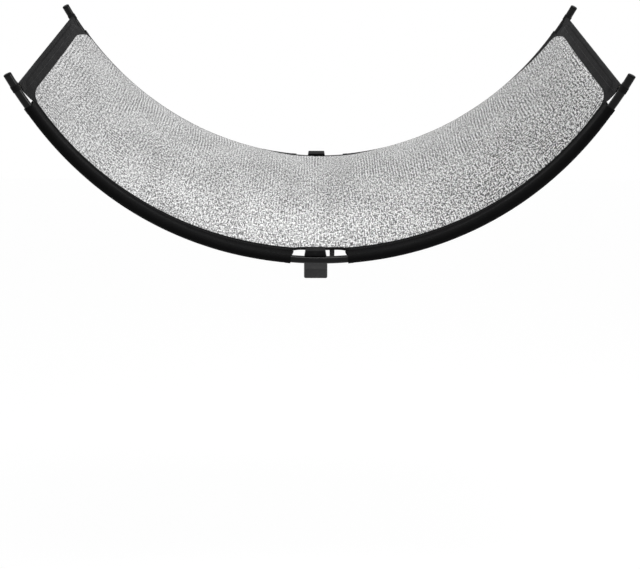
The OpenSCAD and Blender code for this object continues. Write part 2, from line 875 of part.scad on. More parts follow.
silver_cloth();
base_cloth();
for (r = RAILS) {
    sleeve(r[1], r[2]);
    rail(r[1], r[2]);
    ferrule(r[1], r[2]);
    rivet(r[1], r[2]);
    cap(r[1], r[2]);
}
end_hem(-1);  // left_end_hem
end_hem(1);  // right_end_hem
end_batten(-1);  // left_end_batten
end_batten(1);  // right_end_batten
corner_loops();
front_centre_tube();
rear_centre_tube();
front_clip();
rear_clip();
front_clip_screws();
rear_clip_screws();
cross_bar();
bar_screws();
tilt_tongue();
tongue_screws();
stand_block();
pivot_bolt();
friction_washers();
knob_washer();
tilt_knob();
tilt_knob_insert();
stand_lock_shoe();
stand_lock_screw();
stand_lock_knob();
stand_lock_bush();
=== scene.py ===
import json
import math

import bmesh
import bpy
import numpy as np
from mathutils import Matrix, Vector


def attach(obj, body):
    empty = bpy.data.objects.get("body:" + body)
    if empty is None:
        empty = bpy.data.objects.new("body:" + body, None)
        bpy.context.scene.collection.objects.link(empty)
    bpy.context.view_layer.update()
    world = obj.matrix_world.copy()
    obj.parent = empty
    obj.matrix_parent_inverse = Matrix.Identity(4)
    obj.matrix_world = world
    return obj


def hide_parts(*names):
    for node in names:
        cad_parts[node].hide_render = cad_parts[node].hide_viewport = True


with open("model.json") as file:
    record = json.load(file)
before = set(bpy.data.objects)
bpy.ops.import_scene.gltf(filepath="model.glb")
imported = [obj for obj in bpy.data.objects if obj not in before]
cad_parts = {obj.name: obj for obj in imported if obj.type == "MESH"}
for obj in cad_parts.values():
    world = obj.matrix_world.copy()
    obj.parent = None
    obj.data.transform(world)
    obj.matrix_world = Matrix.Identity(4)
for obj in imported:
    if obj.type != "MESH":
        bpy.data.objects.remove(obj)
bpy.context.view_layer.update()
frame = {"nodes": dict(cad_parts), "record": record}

NODES = frame["nodes"]
MM = 0.001

# Sizes of the panel, in metres and degrees, the same as in the part's source
ARCH_R = 0.760
RAIL_END_ANGLE = 67.5
RAIL_LEAN = math.radians(3.3)
RAIL_SPACING = 0.600
RAIL_R = 0.0095
CLOTH_T = 0.0012
SILVER_T = 0.0005
SLEEVE_T = 0.0008
SLEEVE_EASE = 0.0007
SEAM_REACH = 0.024
SEAM_GAP = 0.0003
FRONT_LIFT = 0.010
REAR_LIFT = 0.017
CLOTH_RISE = 0.080
NOTCH_W = 0.144
NOTCH_PULL = 0.006
NOTCH_FLAT = 6
SLEEVE_GAP = 0.080
HEM_INSET = 0.032
CORNER_GAP = 0.0025
CORNER_LIFT = 0.004
CORNER_FLARE = 0.5
LOOP_W = 0.014
LOOP_EASE = 0.0004
BATTEN_R = 0.004
FRONT_BORDER = 0.008
NOTCH_BORDER = 0.005
REAR_BORDER = 0.002
END_BORDER = 0.028
SILVER_CORNER_ACROSS = 0.080
SILVER_CORNER_ALONG = 0.045
SLIP = 0.00005
DEG_PER_M = 180 / (math.pi * ARCH_R)
SLEEVE_IN_R = RAIL_R + SLEEVE_EASE
SLEEVE_R = SLEEVE_IN_R + SLEEVE_T
SLEEVE_END_ANGLE = RAIL_END_ANGLE - SLEEVE_GAP * DEG_PER_M
NOTCH_ANGLE = NOTCH_W / 2 * DEG_PER_M
HEM_ANGLE = RAIL_END_ANGLE - HEM_INSET * DEG_PER_M
HEM_IN_R = BATTEN_R + SLIP
HEM_R = HEM_IN_R + SLEEVE_T
LOOP_IN_R = RAIL_R + LOOP_EASE
CORNER_REACH = RAIL_R + CORNER_GAP
CLOTH_W = RAIL_SPACING - 2 * SEAM_REACH
CLOTH_END_ANGLE = HEM_ANGLE - math.degrees((HEM_R + SEAM_GAP) / (ARCH_R - REAR_LIFT))
SILVER_END_ANGLE = CLOTH_END_ANGLE - END_BORDER * DEG_PER_M

# Fine forms of the cloth that the part's source leaves out or makes plainer, in metres or as shares
FRONT_SAG = 0.0048
FRONT_SAG_SKEW = 1.3
FRONT_TAPER = 0.006
FRONT_TAPER_POWER = 3
FRONT_CORNER_ACROSS = 0.060
FRONT_CORNER_ALONG = 0.028
REAR_WAVE = 0.005
REAR_DIP = 0.3
REAR_RISE_PART = 0.2
REAR_FALL_PART = 0.3
REAR_FALL_LEFT = 0.5
REAR_FALL_RIGHT = 2.0
BAND_CROWN = 0.0044
CROWN_FADE = 4
HEM_TIP = (0.019, 0.0027)
LOOP_T = 0.0005
LOOP_R = LOOP_IN_R + LOOP_T
TAIL_W = 0.013
TAIL_T = 0.0006
BINDING_REACH = 0.0042
BINDING_T = 0.0006

# Place of the panel on the tilt pivot
TILT = math.radians(24)
PIVOT_BACK = 0.200
PIVOT_DROP = 0.075
PIVOT_HEIGHT = 0.088
HEAD_OFFSET = 0.010

# The camera, worked out from the rails' ends and edges in the photograph
IMAGE_W = 640
FOCAL_PX = 890
SENSOR_MM = 36
CAMERA_REACH = 100
CAMERA_PLACE = Vector((0.0112, -2.4324, 0.3616))
CAMERA_DOWN = math.radians(8.939)
CAMERA_YAW = math.radians(0.017)
CAMERA_ROLL = math.radians(0.114)

# The studio, in metres and watts
FLOOR_HEIGHT = -0.87
FLOOR_SIZE = 60.0
FLOOR_GLOW = 1.12
FLOOR_SHADE = 0.16
WORLD_LIGHT = 0.30
LAMPS = {
    "overhead": dict(place=(0.25, -0.9, 2.5), aim=(0.0, 0.0, 0.3), width=1.6, depth=0.7, watts=27),
    "side": dict(place=(2.1, -0.5, 1.5), aim=(-0.5, -0.2, 0.4), width=1.0, depth=1.0, watts=15),
}


def linked(name, data):
    """A new object in the scene."""
    made = bpy.data.objects.new(name, data)
    bpy.context.scene.collection.objects.link(made)
    return made


def face_outwards(mesh):
    """Turns the faces of closed shells outwards."""
    work = bmesh.new()
    work.from_mesh(mesh)
    bmesh.ops.recalc_face_normals(work, faces=work.faces)
    work.to_mesh(mesh)
    work.free()


def shade_smooth(mesh, sharp_deg):
    """Smooth shading, broken only where faces meet at more than an angle."""
    mesh.polygons.foreach_set("use_smooth", [True] * len(mesh.polygons))
    mesh.set_sharp_from_angle(angle=math.radians(sharp_deg))


def make_camera():
    """The photograph's viewpoint."""
    data = bpy.data.cameras.new("camera")
    data.sensor_width = SENSOR_MM
    data.lens = FOCAL_PX / IMAGE_W * SENSOR_MM
    data.clip_end = CAMERA_REACH
    ahead = Vector((
        math.sin(CAMERA_YAW) * math.cos(CAMERA_DOWN),
        math.cos(CAMERA_YAW) * math.cos(CAMERA_DOWN),
        -math.sin(CAMERA_DOWN),
    ))
    level = Vector((math.cos(CAMERA_YAW), -math.sin(CAMERA_YAW), 0))
    above = level.cross(ahead)
    right = level * math.cos(CAMERA_ROLL) + above * math.sin(CAMERA_ROLL)
    up = above * math.cos(CAMERA_ROLL) - level * math.sin(CAMERA_ROLL)
    camera = linked("camera", data)
    turn = Matrix((right, up, -ahead)).transposed().to_4x4()
    camera.matrix_world = Matrix.Translation(CAMERA_PLACE) @ turn
    bpy.context.scene.camera = camera


class Wiring:
    """A node tree, with short ways to add nodes to it and feed them."""

    def __init__(self, tree):
        self.tree = tree

    def give(self, socket, value):
        """Feeds a socket from another socket, or sets it to a plain value."""
        if isinstance(value, bpy.types.NodeSocket):
            self.tree.links.new(value, socket)
        else:
            socket.default_value = value

    def add(self, kind, inputs=None, **settings):
        """A new node with its settings, and its inputs fed by name or by number."""
        node = self.tree.nodes.new(kind)
        for name, value in settings.items():
            setattr(node, name, value)
        for name, value in (inputs or {}).items():
            self.give(node.inputs[name], value)
        return node

    def number(self, operation, *values):
        """The result of a sum on sockets or numbers."""
        return self.add("ShaderNodeMath", dict(enumerate(values)), operation=operation).outputs[0]

    def times(self, first, second):
        return self.number("MULTIPLY", first, second)

    def plus(self, first, second):
        return self.number("ADD", first, second)

    def spread(self, value, low, high, to_low=0.0, to_high=1.0):
        """A value moved from one range to another, and held inside it."""
        inputs = {"Value": value, "From Min": low, "From Max": high, "To Min": to_low, "To Max": to_high}
        return self.add("ShaderNodeMapRange", inputs, clamp=True).outputs["Result"]

    def mix(self, share, first, second):
        """Two colours mixed by a mask."""
        inputs = {0: share, 6: first, 7: second}
        return self.add("ShaderNodeMix", inputs, data_type="RGBA", blend_type="MIX").outputs[2]

    def noise(self, place, scale, detail=2.0, roughness=0.5, flat=False):
        """A noise pattern's value, from 0 to 1."""
        inputs = {"Vector": place, "Scale": scale, "Detail": detail, "Roughness": roughness}
        dimensions = "2D" if flat else "3D"
        return self.add("ShaderNodeTexNoise", inputs, noise_dimensions=dimensions).outputs["Fac"]

    def stretched(self, place, scale):
        """A pattern's place, scaled differently along its axes."""
        return self.add("ShaderNodeMapping", {"Vector": place, "Scale": scale}).outputs["Vector"]

    def split(self, vector):
        """A vector's three parts."""
        return self.add("ShaderNodeSeparateXYZ", {0: vector}).outputs


def new_group(name, kind, inputs, outputs):
    """An empty node group: its wiring, what its inputs give, and the sockets that it ends in."""
    tree = bpy.data.node_groups.new(name, kind)
    for title, (sort, value) in inputs.items():
        socket = tree.interface.new_socket(name=title, in_out="INPUT", socket_type="NodeSocket" + sort)
        if value is not None:
            socket.default_value = value
    for title, sort in outputs.items():
        tree.interface.new_socket(name=title, in_out="OUTPUT", socket_type="NodeSocket" + sort)
    wiring = Wiring(tree)
    return wiring, wiring.add("NodeGroupInput").outputs, wiring.add("NodeGroupOutput").inputs


def weave_group():
    """Plain weave: threads that pass over and under each other."""
    wiring, start, end = new_group(
        "plain_weave", "ShaderNodeTree",
        {"Place": ("Vector", None), "Threads per metre": ("Float", 1200.0)},
        {"Height": "Float", "Thread shade": "Float"},
    )
    scaling = {0: start["Place"], "Scale": start["Threads per metre"]}
    scaled = wiring.add("ShaderNodeVectorMath", scaling, operation="SCALE")
    across, along, _ = wiring.split(scaled.outputs[0])
    warp = wiring.number("ABSOLUTE", wiring.number("SINE", wiring.times(across, math.pi)))
    weft = wiring.number("ABSOLUTE", wiring.number("SINE", wiring.times(along, math.pi)))
    column, line = wiring.number("FLOOR", across), wiring.number("FLOOR", along)
    over = wiring.number("FLOORED_MODULO", wiring.plus(column, line), 2.0)
    under = wiring.number("SUBTRACT", 1.0, over)
    wiring.give(end["Height"], wiring.plus(wiring.times(warp, over), wiring.times(weft, under)))
    thread = wiring.plus(wiring.times(column, over), wiring.times(line, under))
    shade = wiring.add("ShaderNodeTexWhiteNoise", {"W": thread}, noise_dimensions="1D")
    wiring.give(end["Thread shade"], shade.outputs["Value"])
    return wiring.tree


def grain_group():
    """Fine pits and soft unevenness of a moulded or painted skin."""
    wiring, start, end = new_group(
        "skin_grain", "ShaderNodeTree",
        {"Place": ("Vector", None), "Grains per metre": ("Float", 900.0)},
        {"Height": "Float", "Cloud": "Float"},
    )
    clouds_per_grain = 0.03
    place, grains = start["Place"], start["Grains per metre"]
    clouds = wiring.times(grains, clouds_per_grain)
    wiring.give(end["Height"], wiring.noise(place, grains, detail=3.0, roughness=0.6))
    wiring.give(end["Cloud"], wiring.noise(place, clouds, detail=3.0, roughness=0.55))
    return wiring.tree


def wear_group():
    """Handling marks: thin scratches and rubbed patches."""
    wiring, start, end = new_group(
        "handling_wear", "ShaderNodeTree",
        {"Place": ("Vector", None), "Marks per metre": ("Float", 40.0), "Amount": ("Float", 0.3)},
        {"Mask": "Float"},
    )
    scratch_stretch = (1.0, 9.0, 5.0)
    place, marks = start["Place"], start["Marks per metre"]
    patch = wiring.noise(place, marks, detail=5.0, roughness=0.62)
    scratch = wiring.noise(wiring.stretched(place, scratch_stretch), marks, detail=4.0, roughness=0.7)
    both = wiring.number("MAXIMUM", wiring.spread(patch, 0.56, 0.74), wiring.spread(scratch, 0.63, 0.70))
    wiring.give(end["Mask"], wiring.times(both, start["Amount"]))
    return wiring.tree


def dust_group():
    """Pale dust that lies where a surface faces up."""
    wiring, start, end = new_group(
        "settled_dust", "ShaderNodeTree",
        {"Place": ("Vector", None), "Amount": ("Float", 0.1)},
        {"Mask": "Float"},
    )
    specks_per_metre = 260.0
    upward = wiring.split(wiring.add("ShaderNodeNewGeometry").outputs["Normal"])[2]
    specks = wiring.noise(start["Place"], specks_per_metre, detail=4.0, roughness=0.7)
    mask = wiring.times(wiring.spread(upward, 0.1, 0.9), wiring.spread(specks, 0.45, 0.8))
    wiring.give(end["Mask"], wiring.times(mask, start["Amount"]))
    return wiring.tree


def colour(red, green, blue):
    return (red, green, blue, 1.0)


WEAVE = weave_group()
GRAIN = grain_group()
WEAR = wear_group()
DUST = dust_group()
DUST_COLOUR = colour(0.36, 0.35, 0.33)
LINT_COLOUR = colour(0.2, 0.2, 0.2)
CLOTH_MAP = "cloth"

# The range that most of a noise pattern lies in
NOISE_LOW, NOISE_HIGH = 0.3, 0.7


class Finish(Wiring):
    """A material with its main shader, and short ways to feed it."""

    def __init__(self, name, **plain):
        self.material = bpy.data.materials.new(name)
        self.material.use_nodes = True
        super().__init__(self.material.node_tree)
        self.main = self.tree.nodes["Principled BSDF"]
        for title, value in plain.items():
            self.feed(title.replace("_", " "), value)

    def feed(self, title, value):
        self.give(self.main.inputs[title], value)

    def place(self):
        """Object coordinates, in metres."""
        return self.add("ShaderNodeTexCoord").outputs["Object"]

    def cloth_place(self):
        """The piece's own flat map, in metres."""
        return self.add("ShaderNodeUVMap", uv_map=CLOTH_MAP).outputs["UV"]

    def group(self, tree, **inputs):
        """A shared effect with this material's own values."""
        named = {title.replace("_", " "): value for title, value in inputs.items()}
        return self.add("ShaderNodeGroup", named, node_tree=tree).outputs

    def bump(self, height, depth, below=None):
        """A normal from a height of up to depth metres, on top of another normal."""
        inputs = {"Strength": 1.0, "Distance": depth, "Height": height}
        if below is not None:
            inputs["Normal"] = below
        return self.add("ShaderNodeBump", inputs).outputs["Normal"]


def skin_finish(name, dark, light, worn, grains, depth, rough, wear, dust, **plain):
    """Paint or moulded plastic: cloudy colour, fine grain, handling marks and a little dust."""
    marks_per_metre, rough_change, dust_rough = 34.0, 0.07, 0.3
    finish = Finish(name, **plain)
    place = finish.place()
    grain = finish.group(GRAIN, Place=place, Grains_per_metre=grains)
    marks = finish.group(WEAR, Place=place, Marks_per_metre=marks_per_metre, Amount=wear)["Mask"]
    specks = finish.group(DUST, Place=place, Amount=dust)["Mask"]
    base = finish.mix(finish.spread(grain["Cloud"], NOISE_LOW, NOISE_HIGH), dark, light)
    base = finish.mix(marks, base, worn)
    finish.feed("Base Color", finish.mix(specks, base, DUST_COLOUR))
    roughness = finish.spread(grain["Cloud"], 0.25, 0.75, rough - rough_change, rough + rough_change)
    finish.feed("Roughness", finish.plus(roughness, finish.times(specks, dust_rough)))
    finish.feed("Normal", finish.bump(grain["Height"], depth))
    return finish.material


def metal_finish(name, dark, light, rough, lines, wear):
    """Turned or drawn metal: faint machining lines, stains and scratches."""
    grains, marks_per_metre, line_depth = 700.0, 60.0, 0.05 * MM
    rough_change, worn_rough = 0.08, 0.15
    finish = Finish(name, Metallic=1.0)
    place = finish.place()
    grain = finish.group(GRAIN, Place=place, Grains_per_metre=grains)
    marks = finish.group(WEAR, Place=place, Marks_per_metre=marks_per_metre, Amount=wear)["Mask"]
    turned = finish.noise(finish.stretched(place, lines), 1.0, detail=2.0, roughness=0.6)
    base = finish.mix(finish.spread(grain["Cloud"], NOISE_LOW, NOISE_HIGH), dark, light)
    finish.feed("Base Color", finish.mix(marks, base, light))
    roughness = finish.spread(turned, NOISE_LOW, NOISE_HIGH, rough - rough_change, rough + rough_change)
    finish.feed("Roughness", finish.plus(roughness, finish.times(marks, worn_rough)))
    finish.feed("Normal", finish.bump(turned, line_depth))
    return finish.material


def black_cloth_finish(name, dark, light, threads, **plain):
    """Black coated nylon: weave, shade from thread to thread, soft creases and lint."""
    creases_per_metre, crease_depth, thread_depth = 26.0, 1.2 * MM, 0.1 * MM
    thread_share, crease_share, lint_amount = 0.35, 0.65, 0.05
    finish = Finish(name, **plain)
    place = finish.cloth_place()
    weave = finish.group(WEAVE, Place=place, Threads_per_metre=threads)
    lint = finish.group(DUST, Place=finish.place(), Amount=lint_amount)["Mask"]
    crease = finish.noise(place, creases_per_metre, detail=4.0, roughness=0.55)
    thread_tone = finish.times(weave["Thread shade"], thread_share)
    crease_tone = finish.spread(crease, NOISE_LOW, NOISE_HIGH, 0.0, crease_share)
    tone = finish.plus(thread_tone, crease_tone)
    finish.feed("Base Color", finish.mix(lint, finish.mix(tone, dark, light), LINT_COLOUR))
    finish.feed("Roughness", finish.spread(crease, NOISE_LOW, NOISE_HIGH, 0.5, 0.66))
    soft = finish.bump(crease, crease_depth)
    finish.feed("Normal", finish.bump(weave["Height"], thread_depth, soft))
    return finish.material


def silver_finish():
    """Metal-coated crinkle cloth: light and dark grain, threads both ways, and ribs in patches, painted
    into the colour as the crinkles' glints and shade, with painted shade darkening the right arm.
    """
    finish = Finish("silver_crinkle_cloth")
    grains, threads, rib_pitch, depth = 270.0, 100.0, 8.6 * MM, 1.6 * MM
    grain_share, warp_share, weft_share, rib_height = 0.46, 0.3, 0.24, 0.16
    weave_share, rib_share = 0.74, 0.26
    drift_stretch, drift_amount, rib_patch_stretch = (20.0, 8.0, 1.0), 5.0, (9.0, 6.0, 1.0)
    cross_patches_per_metre, clouds_per_metre = 16.0, 9.0
    place = finish.cloth_place()
    along, across, _ = finish.split(place)
    grain = finish.noise(place, grains, detail=1.0, roughness=0.8, flat=True)
    weave = finish.times(grain, grain_share)
    for stretch, share in (((grains, threads, 1.0), warp_share), ((threads, grains, 1.0), weft_share)):
        thread = finish.noise(finish.stretched(place, stretch), 1.0, detail=1.0, roughness=0.6, flat=True)
        weave = finish.plus(weave, finish.times(thread, share))
    drift = finish.noise(finish.stretched(place, drift_stretch), 1.0, detail=1.0, flat=True)
    drift = finish.times(drift, drift_amount)
    rib_patches = finish.stretched(place, rib_patch_stretch)
    rib_patches = finish.noise(rib_patches, 1.0, detail=3.0, roughness=0.7, flat=True)
    toward_rear = finish.spread(across, 0.08, 0.3, 0.35, 1.0)
    rib_patches = finish.times(finish.spread(rib_patches, 0.4, 0.6), toward_rear)
    arms = finish.spread(finish.number("ABSOLUTE", along), 0.3, 0.55)
    cross_patches = finish.noise(place, cross_patches_per_metre, detail=3.0, roughness=0.7, flat=True)
    cross_patches = finish.times(finish.spread(cross_patches, 0.52, 0.62), arms)
    ribs = 0.5
    for way, patches in ((along, rib_patches), (across, cross_patches)):
        phase = finish.plus(finish.times(way, 2 * math.pi / rib_pitch), drift)
        wave = finish.times(finish.number("SINE", phase), rib_height)
        ribs = finish.plus(ribs, finish.times(wave, patches))
    cloud = finish.noise(place, clouds_per_metre, detail=3.0, roughness=0.55, flat=True)
    mixed = finish.plus(finish.times(weave, weave_share), finish.times(ribs, rib_share))
    # The crinkle pattern's light and dark flecks are painted glints and painted shade of the crinkles, made
    # stronger towards the right and the rear
    glint_and_shade_contrast = finish.spread(along, 0.0, 0.7, 9.5, 30.0)
    glint_and_shade_contrast = finish.times(glint_and_shade_contrast, finish.spread(across, 0.05, 0.4, 0.75, 1.15))
    crinkle = finish.times(finish.number("SUBTRACT", mixed, 0.5), glint_and_shade_contrast)
    crinkle = finish.spread(crinkle, -0.5, 0.5)
    tone = finish.plus(crinkle, finish.spread(cloud, NOISE_LOW, NOISE_HIGH, -0.08, 0.08))
    # Painted shade: the dark flecks turn darker towards the right arm, standing in for the weaker light
    # there
    shade_to_right = finish.spread(along, 0.3, 0.7)
    painted_shade_dark = finish.mix(shade_to_right, colour(0.11, 0.11, 0.112), colour(0.01, 0.01, 0.0105))
    # Colour runs from the painted shade's dark to a near-white painted glint
    finish.feed("Base Color", finish.mix(tone, painted_shade_dark, colour(0.93, 0.93, 0.93)))
    finish.feed("Metallic", finish.spread(grain, 0.35, 0.65, 0.1, 0.26))
    finish.feed("Roughness", finish.spread(crinkle, 0.0, 1.0, 0.6, 0.4))
    finish.feed("Normal", finish.bump(mixed, depth))
    return finish.material


def thread_finish(name, dark, light):
    """Twisted sewing thread."""
    twists_per_metre, twist_depth = 1900.0, 0.15 * MM
    finish = Finish(name, Sheen_Weight=0.2)
    twist = finish.noise(finish.place(), twists_per_metre, detail=2.0, roughness=0.6)
    finish.feed("Base Color", finish.mix(twist, dark, light))
    finish.feed("Roughness", finish.spread(twist, NOISE_LOW, NOISE_HIGH, 0.5, 0.7))
    finish.feed("Normal", finish.bump(twist, twist_depth))
    return finish.material


SILVER = silver_finish()
BASE_NYLON = black_cloth_finish(
    "black_base_nylon", dark=colour(0.007, 0.007, 0.0075), light=colour(0.014, 0.014, 0.0145),
    threads=1500.0, Sheen_Weight=0.03, Specular_IOR_Level=0.05)
SLEEVE_NYLON = black_cloth_finish(
    "black_sleeve_nylon", dark=colour(0.004, 0.004, 0.004), light=colour(0.008, 0.008, 0.0085),
    threads=1300.0, Specular_IOR_Level=0.035)
BLACK_THREAD = thread_finish("black_thread", colour(0.008, 0.008, 0.009), colour(0.035, 0.035, 0.037))
GREY_THREAD = thread_finish("grey_thread", colour(0.30, 0.30, 0.31), colour(0.62, 0.62, 0.63))
TUBE_PAINT = skin_finish(
    "satin_black_tube_paint", dark=colour(0.003, 0.003, 0.0032), light=colour(0.007, 0.007, 0.0073),
    worn=colour(0.03, 0.03, 0.031), grains=1400.0, depth=0.004 * MM, rough=0.07, wear=0.25, dust=0.02,
    Specular_IOR_Level=0.15)
CLIP_PLASTIC = skin_finish(
    "grained_black_plastic", dark=colour(0.004, 0.004, 0.0043), light=colour(0.008, 0.008, 0.0085),
    worn=colour(0.05, 0.05, 0.05), grains=1100.0, depth=0.12 * MM, rough=0.5, wear=0.3, dust=0.05,
    Specular_IOR_Level=0.09)
KNOB_PLASTIC = skin_finish(
    "knob_plastic", dark=colour(0.010, 0.010, 0.011), light=colour(0.018, 0.018, 0.019),
    worn=colour(0.05, 0.05, 0.05), grains=900.0, depth=0.14 * MM, rough=0.45, wear=0.3, dust=0.05,
    Specular_IOR_Level=0.22)
BLOCK_PAINT = skin_finish(
    "dark_grey_casting_paint", dark=colour(0.064, 0.064, 0.065), light=colour(0.088, 0.088, 0.089),
    worn=colour(0.19, 0.19, 0.19), grains=650.0, depth=0.2 * MM, rough=0.48, wear=0.3, dust=0.06,
    Specular_IOR_Level=0.25)
BAR_PAINT = skin_finish(
    "black_bar_paint", dark=colour(0.020, 0.020, 0.021), light=colour(0.032, 0.032, 0.033),
    worn=colour(0.12, 0.12, 0.12), grains=1300.0, depth=0.06 * MM, rough=0.42, wear=0.35, dust=0.06,
    Specular_IOR_Level=0.3)
BATTEN_FIBRE = skin_finish(
    "pale_glass_fibre", dark=colour(0.50, 0.48, 0.40), light=colour(0.62, 0.60, 0.52),
    worn=colour(0.30, 0.28, 0.24), grains=600.0, depth=0.06 * MM, rough=0.42, wear=0.2, dust=0.0)
WASHER_FIBRE = skin_finish(
    "pressed_fibre", dark=colour(0.24, 0.17, 0.11), light=colour(0.36, 0.27, 0.19),
    worn=colour(0.16, 0.11, 0.07), grains=1500.0, depth=0.1 * MM, rough=0.7, wear=0.3, dust=0.0)
STEEL = metal_finish(
    "zinc_plated_steel", dark=colour(0.42, 0.43, 0.44), light=colour(0.62, 0.62, 0.62),
    rough=0.32, lines=(900.0, 900.0, 120.0), wear=0.3)
ALUMINIUM = metal_finish(
    "drawn_aluminium", dark=colour(0.66, 0.67, 0.69), light=colour(0.80, 0.80, 0.81),
    rough=0.35, lines=(60.0, 1500.0, 1500.0), wear=0.3)
BRASS = metal_finish(
    "turned_brass", dark=colour(0.52, 0.37, 0.15), light=colour(0.75, 0.56, 0.26),
    rough=0.3, lines=(1200.0, 150.0, 1200.0), wear=0.2)


def smooth(value):
    """A soft step from 0 to 1."""
    held = np.clip(value, 0, 1)
    return held * held * (3 - 2 * held)


def hump(share):
    """A parabola that is 0 at both ends of a share and 1 halfway."""
    return 4 * share * (1 - share)


def hills(x, y, seed):
    """Smooth random hills, one to each unit square, from -1 to 1."""
    size, x_stride, y_stride = 8192, 7919, 104729
    table = np.random.default_rng(seed).uniform(-1, 1, size)
    left, low = np.floor(x).astype(np.int64), np.floor(y).astype(np.int64)
    x_share, y_share = smooth(x - left), smooth(y - low)

    def corner(i, j):
        return table[((left + i) * x_stride + (low + j) * y_stride) % size]

    lower = corner(0, 0) * (1 - x_share) + corner(1, 0) * x_share
    upper = corner(0, 1) * (1 - x_share) + corner(1, 1) * x_share
    return lower * (1 - y_share) + upper * y_share


def front_point(angle, back, up):
    """A point behind the front rail and above it, at an angle round its leaning arch."""
    turn = np.radians(angle)
    height = ARCH_R - (ARCH_R - up) * np.cos(turn)
    lean_cos, lean_sin = math.cos(RAIL_LEAN), math.sin(RAIL_LEAN)
    parts = (
        (ARCH_R - up) * np.sin(turn),
        back * lean_cos + height * lean_sin,
        height * lean_cos - back * lean_sin,
    )
    return np.stack(np.broadcast_arrays(*parts), -1)


def rear_point(angle, ahead, up):
    """The matching point in front of the rear rail."""
    point = front_point(angle, ahead, up)
    point[..., 1] = RAIL_SPACING - point[..., 1]
    return point


RAIL_POINT = {"front": front_point, "rear": rear_point}


def past_sleeve(angle):
    """Share of the way from the ends of the sleeves to the end hem."""
    return np.maximum(0, (np.abs(angle) - SLEEVE_END_ANGLE) / (HEM_ANGLE - SLEEVE_END_ANGLE))


def along_sleeve(angle):
    """Share of the way along a sleeve, from the notch to its outer end."""
    return np.clip((np.abs(angle) - NOTCH_ANGLE) / (SLEEVE_END_ANGLE - NOTCH_ANGLE), 0, 1)


def drawn_in(angle):
    """How far a notch draws the cloth's edge in, as a share of the width."""
    return NOTCH_PULL / CLOTH_W * np.maximum(0, 1 - (angle / NOTCH_ANGLE) ** NOTCH_FLAT)


def edge_inset(angle):
    """Share of the width from the seam to the cloth's edge, below zero where the corners reach out."""
    out = (SEAM_REACH - CORNER_REACH) / CLOTH_W * past_sleeve(angle) ** CORNER_FLARE
    return drawn_in(angle) - out


def front_sag(angle):
    """How far a slack front sleeve hangs below its rail, most of it past the middle of the arm."""
    return FRONT_SAG * np.sin(np.pi * along_sleeve(angle) ** FRONT_SAG_SKEW)


def seam_lift(angle, line):
    """Height of a seam over its rail's centre: the front one sags, and the rear one waves up."""
    if line == "front":
        return FRONT_LIFT - front_sag(angle)
    along = along_sleeve(angle)
    rise = (1 + REAR_DIP) * smooth(along / REAR_RISE_PART) - REAR_DIP
    fall = np.where(np.asarray(angle) < 0, REAR_FALL_LEFT, REAR_FALL_RIGHT)
    return REAR_LIFT + REAR_WAVE * (rise - fall * smooth(1 - (1 - along) / REAR_FALL_PART))


def edge_lift(angle, line):
    """Height of the cloth's edge over a rail's centre, which falls to the corner's past the sleeves."""
    seam = seam_lift(angle, line)
    return seam + (CORNER_LIFT - seam) * past_sleeve(angle) ** CORNER_FLARE


def band_crown(angle, share):
    """How far the black end band swells over the batten in its hem, which fades out at the corners."""
    into_band = (np.abs(angle) - SILVER_END_ANGLE) / (CLOTH_END_ANGLE - SILVER_END_ANGLE)
    rounded = 1 - (1 - np.clip(into_band, 0, 1)) ** 2
    return BAND_CROWN * rounded * smooth(CROWN_FADE * hump(share))


def cloth_point(angle, share, lift):
    """A point of the cloth: share runs from the front to the rear seam, lift along the arch's radius."""
    angle, share, lift = np.broadcast_arrays(angle, share, lift)
    rise = CLOTH_RISE * hump(share) * (1 - (angle / HEM_ANGLE) ** 2) + lift
    rise = rise + band_crown(angle, share)
    turn = np.radians(angle)
    front = front_point(angle, SEAM_REACH, edge_lift(angle, "front")) * (1 - share)[..., None]
    rear = rear_point(angle, SEAM_REACH, edge_lift(angle, "rear")) * share[..., None]
    inward = np.stack([-np.sin(turn), np.zeros_like(turn), np.cos(turn)], -1)
    return front + rear + rise[..., None] * inward


def to_part_frame(point):
    """From the panel's own frame to the part's frame."""
    y, z = point[..., 1] - PIVOT_BACK, point[..., 2] + PIVOT_DROP
    parts = (
        point[..., 0] + HEAD_OFFSET,
        y * math.cos(TILT) - z * math.sin(TILT),
        PIVOT_HEIGHT + y * math.sin(TILT) + z * math.cos(TILT),
    )
    return np.stack(parts, -1)


def cloth_normal(angle, share):
    """The cloth's upward normal, in the part's frame."""
    step = 0.001

    def place(turn, shift):
        return to_part_frame(cloth_point(angle + turn, share + shift, 0.0))

    normal = np.cross(place(step, 0) - place(-step, 0), place(0, step) - place(0, -step))
    return normal / np.linalg.norm(normal, axis=-1, keepdims=True)


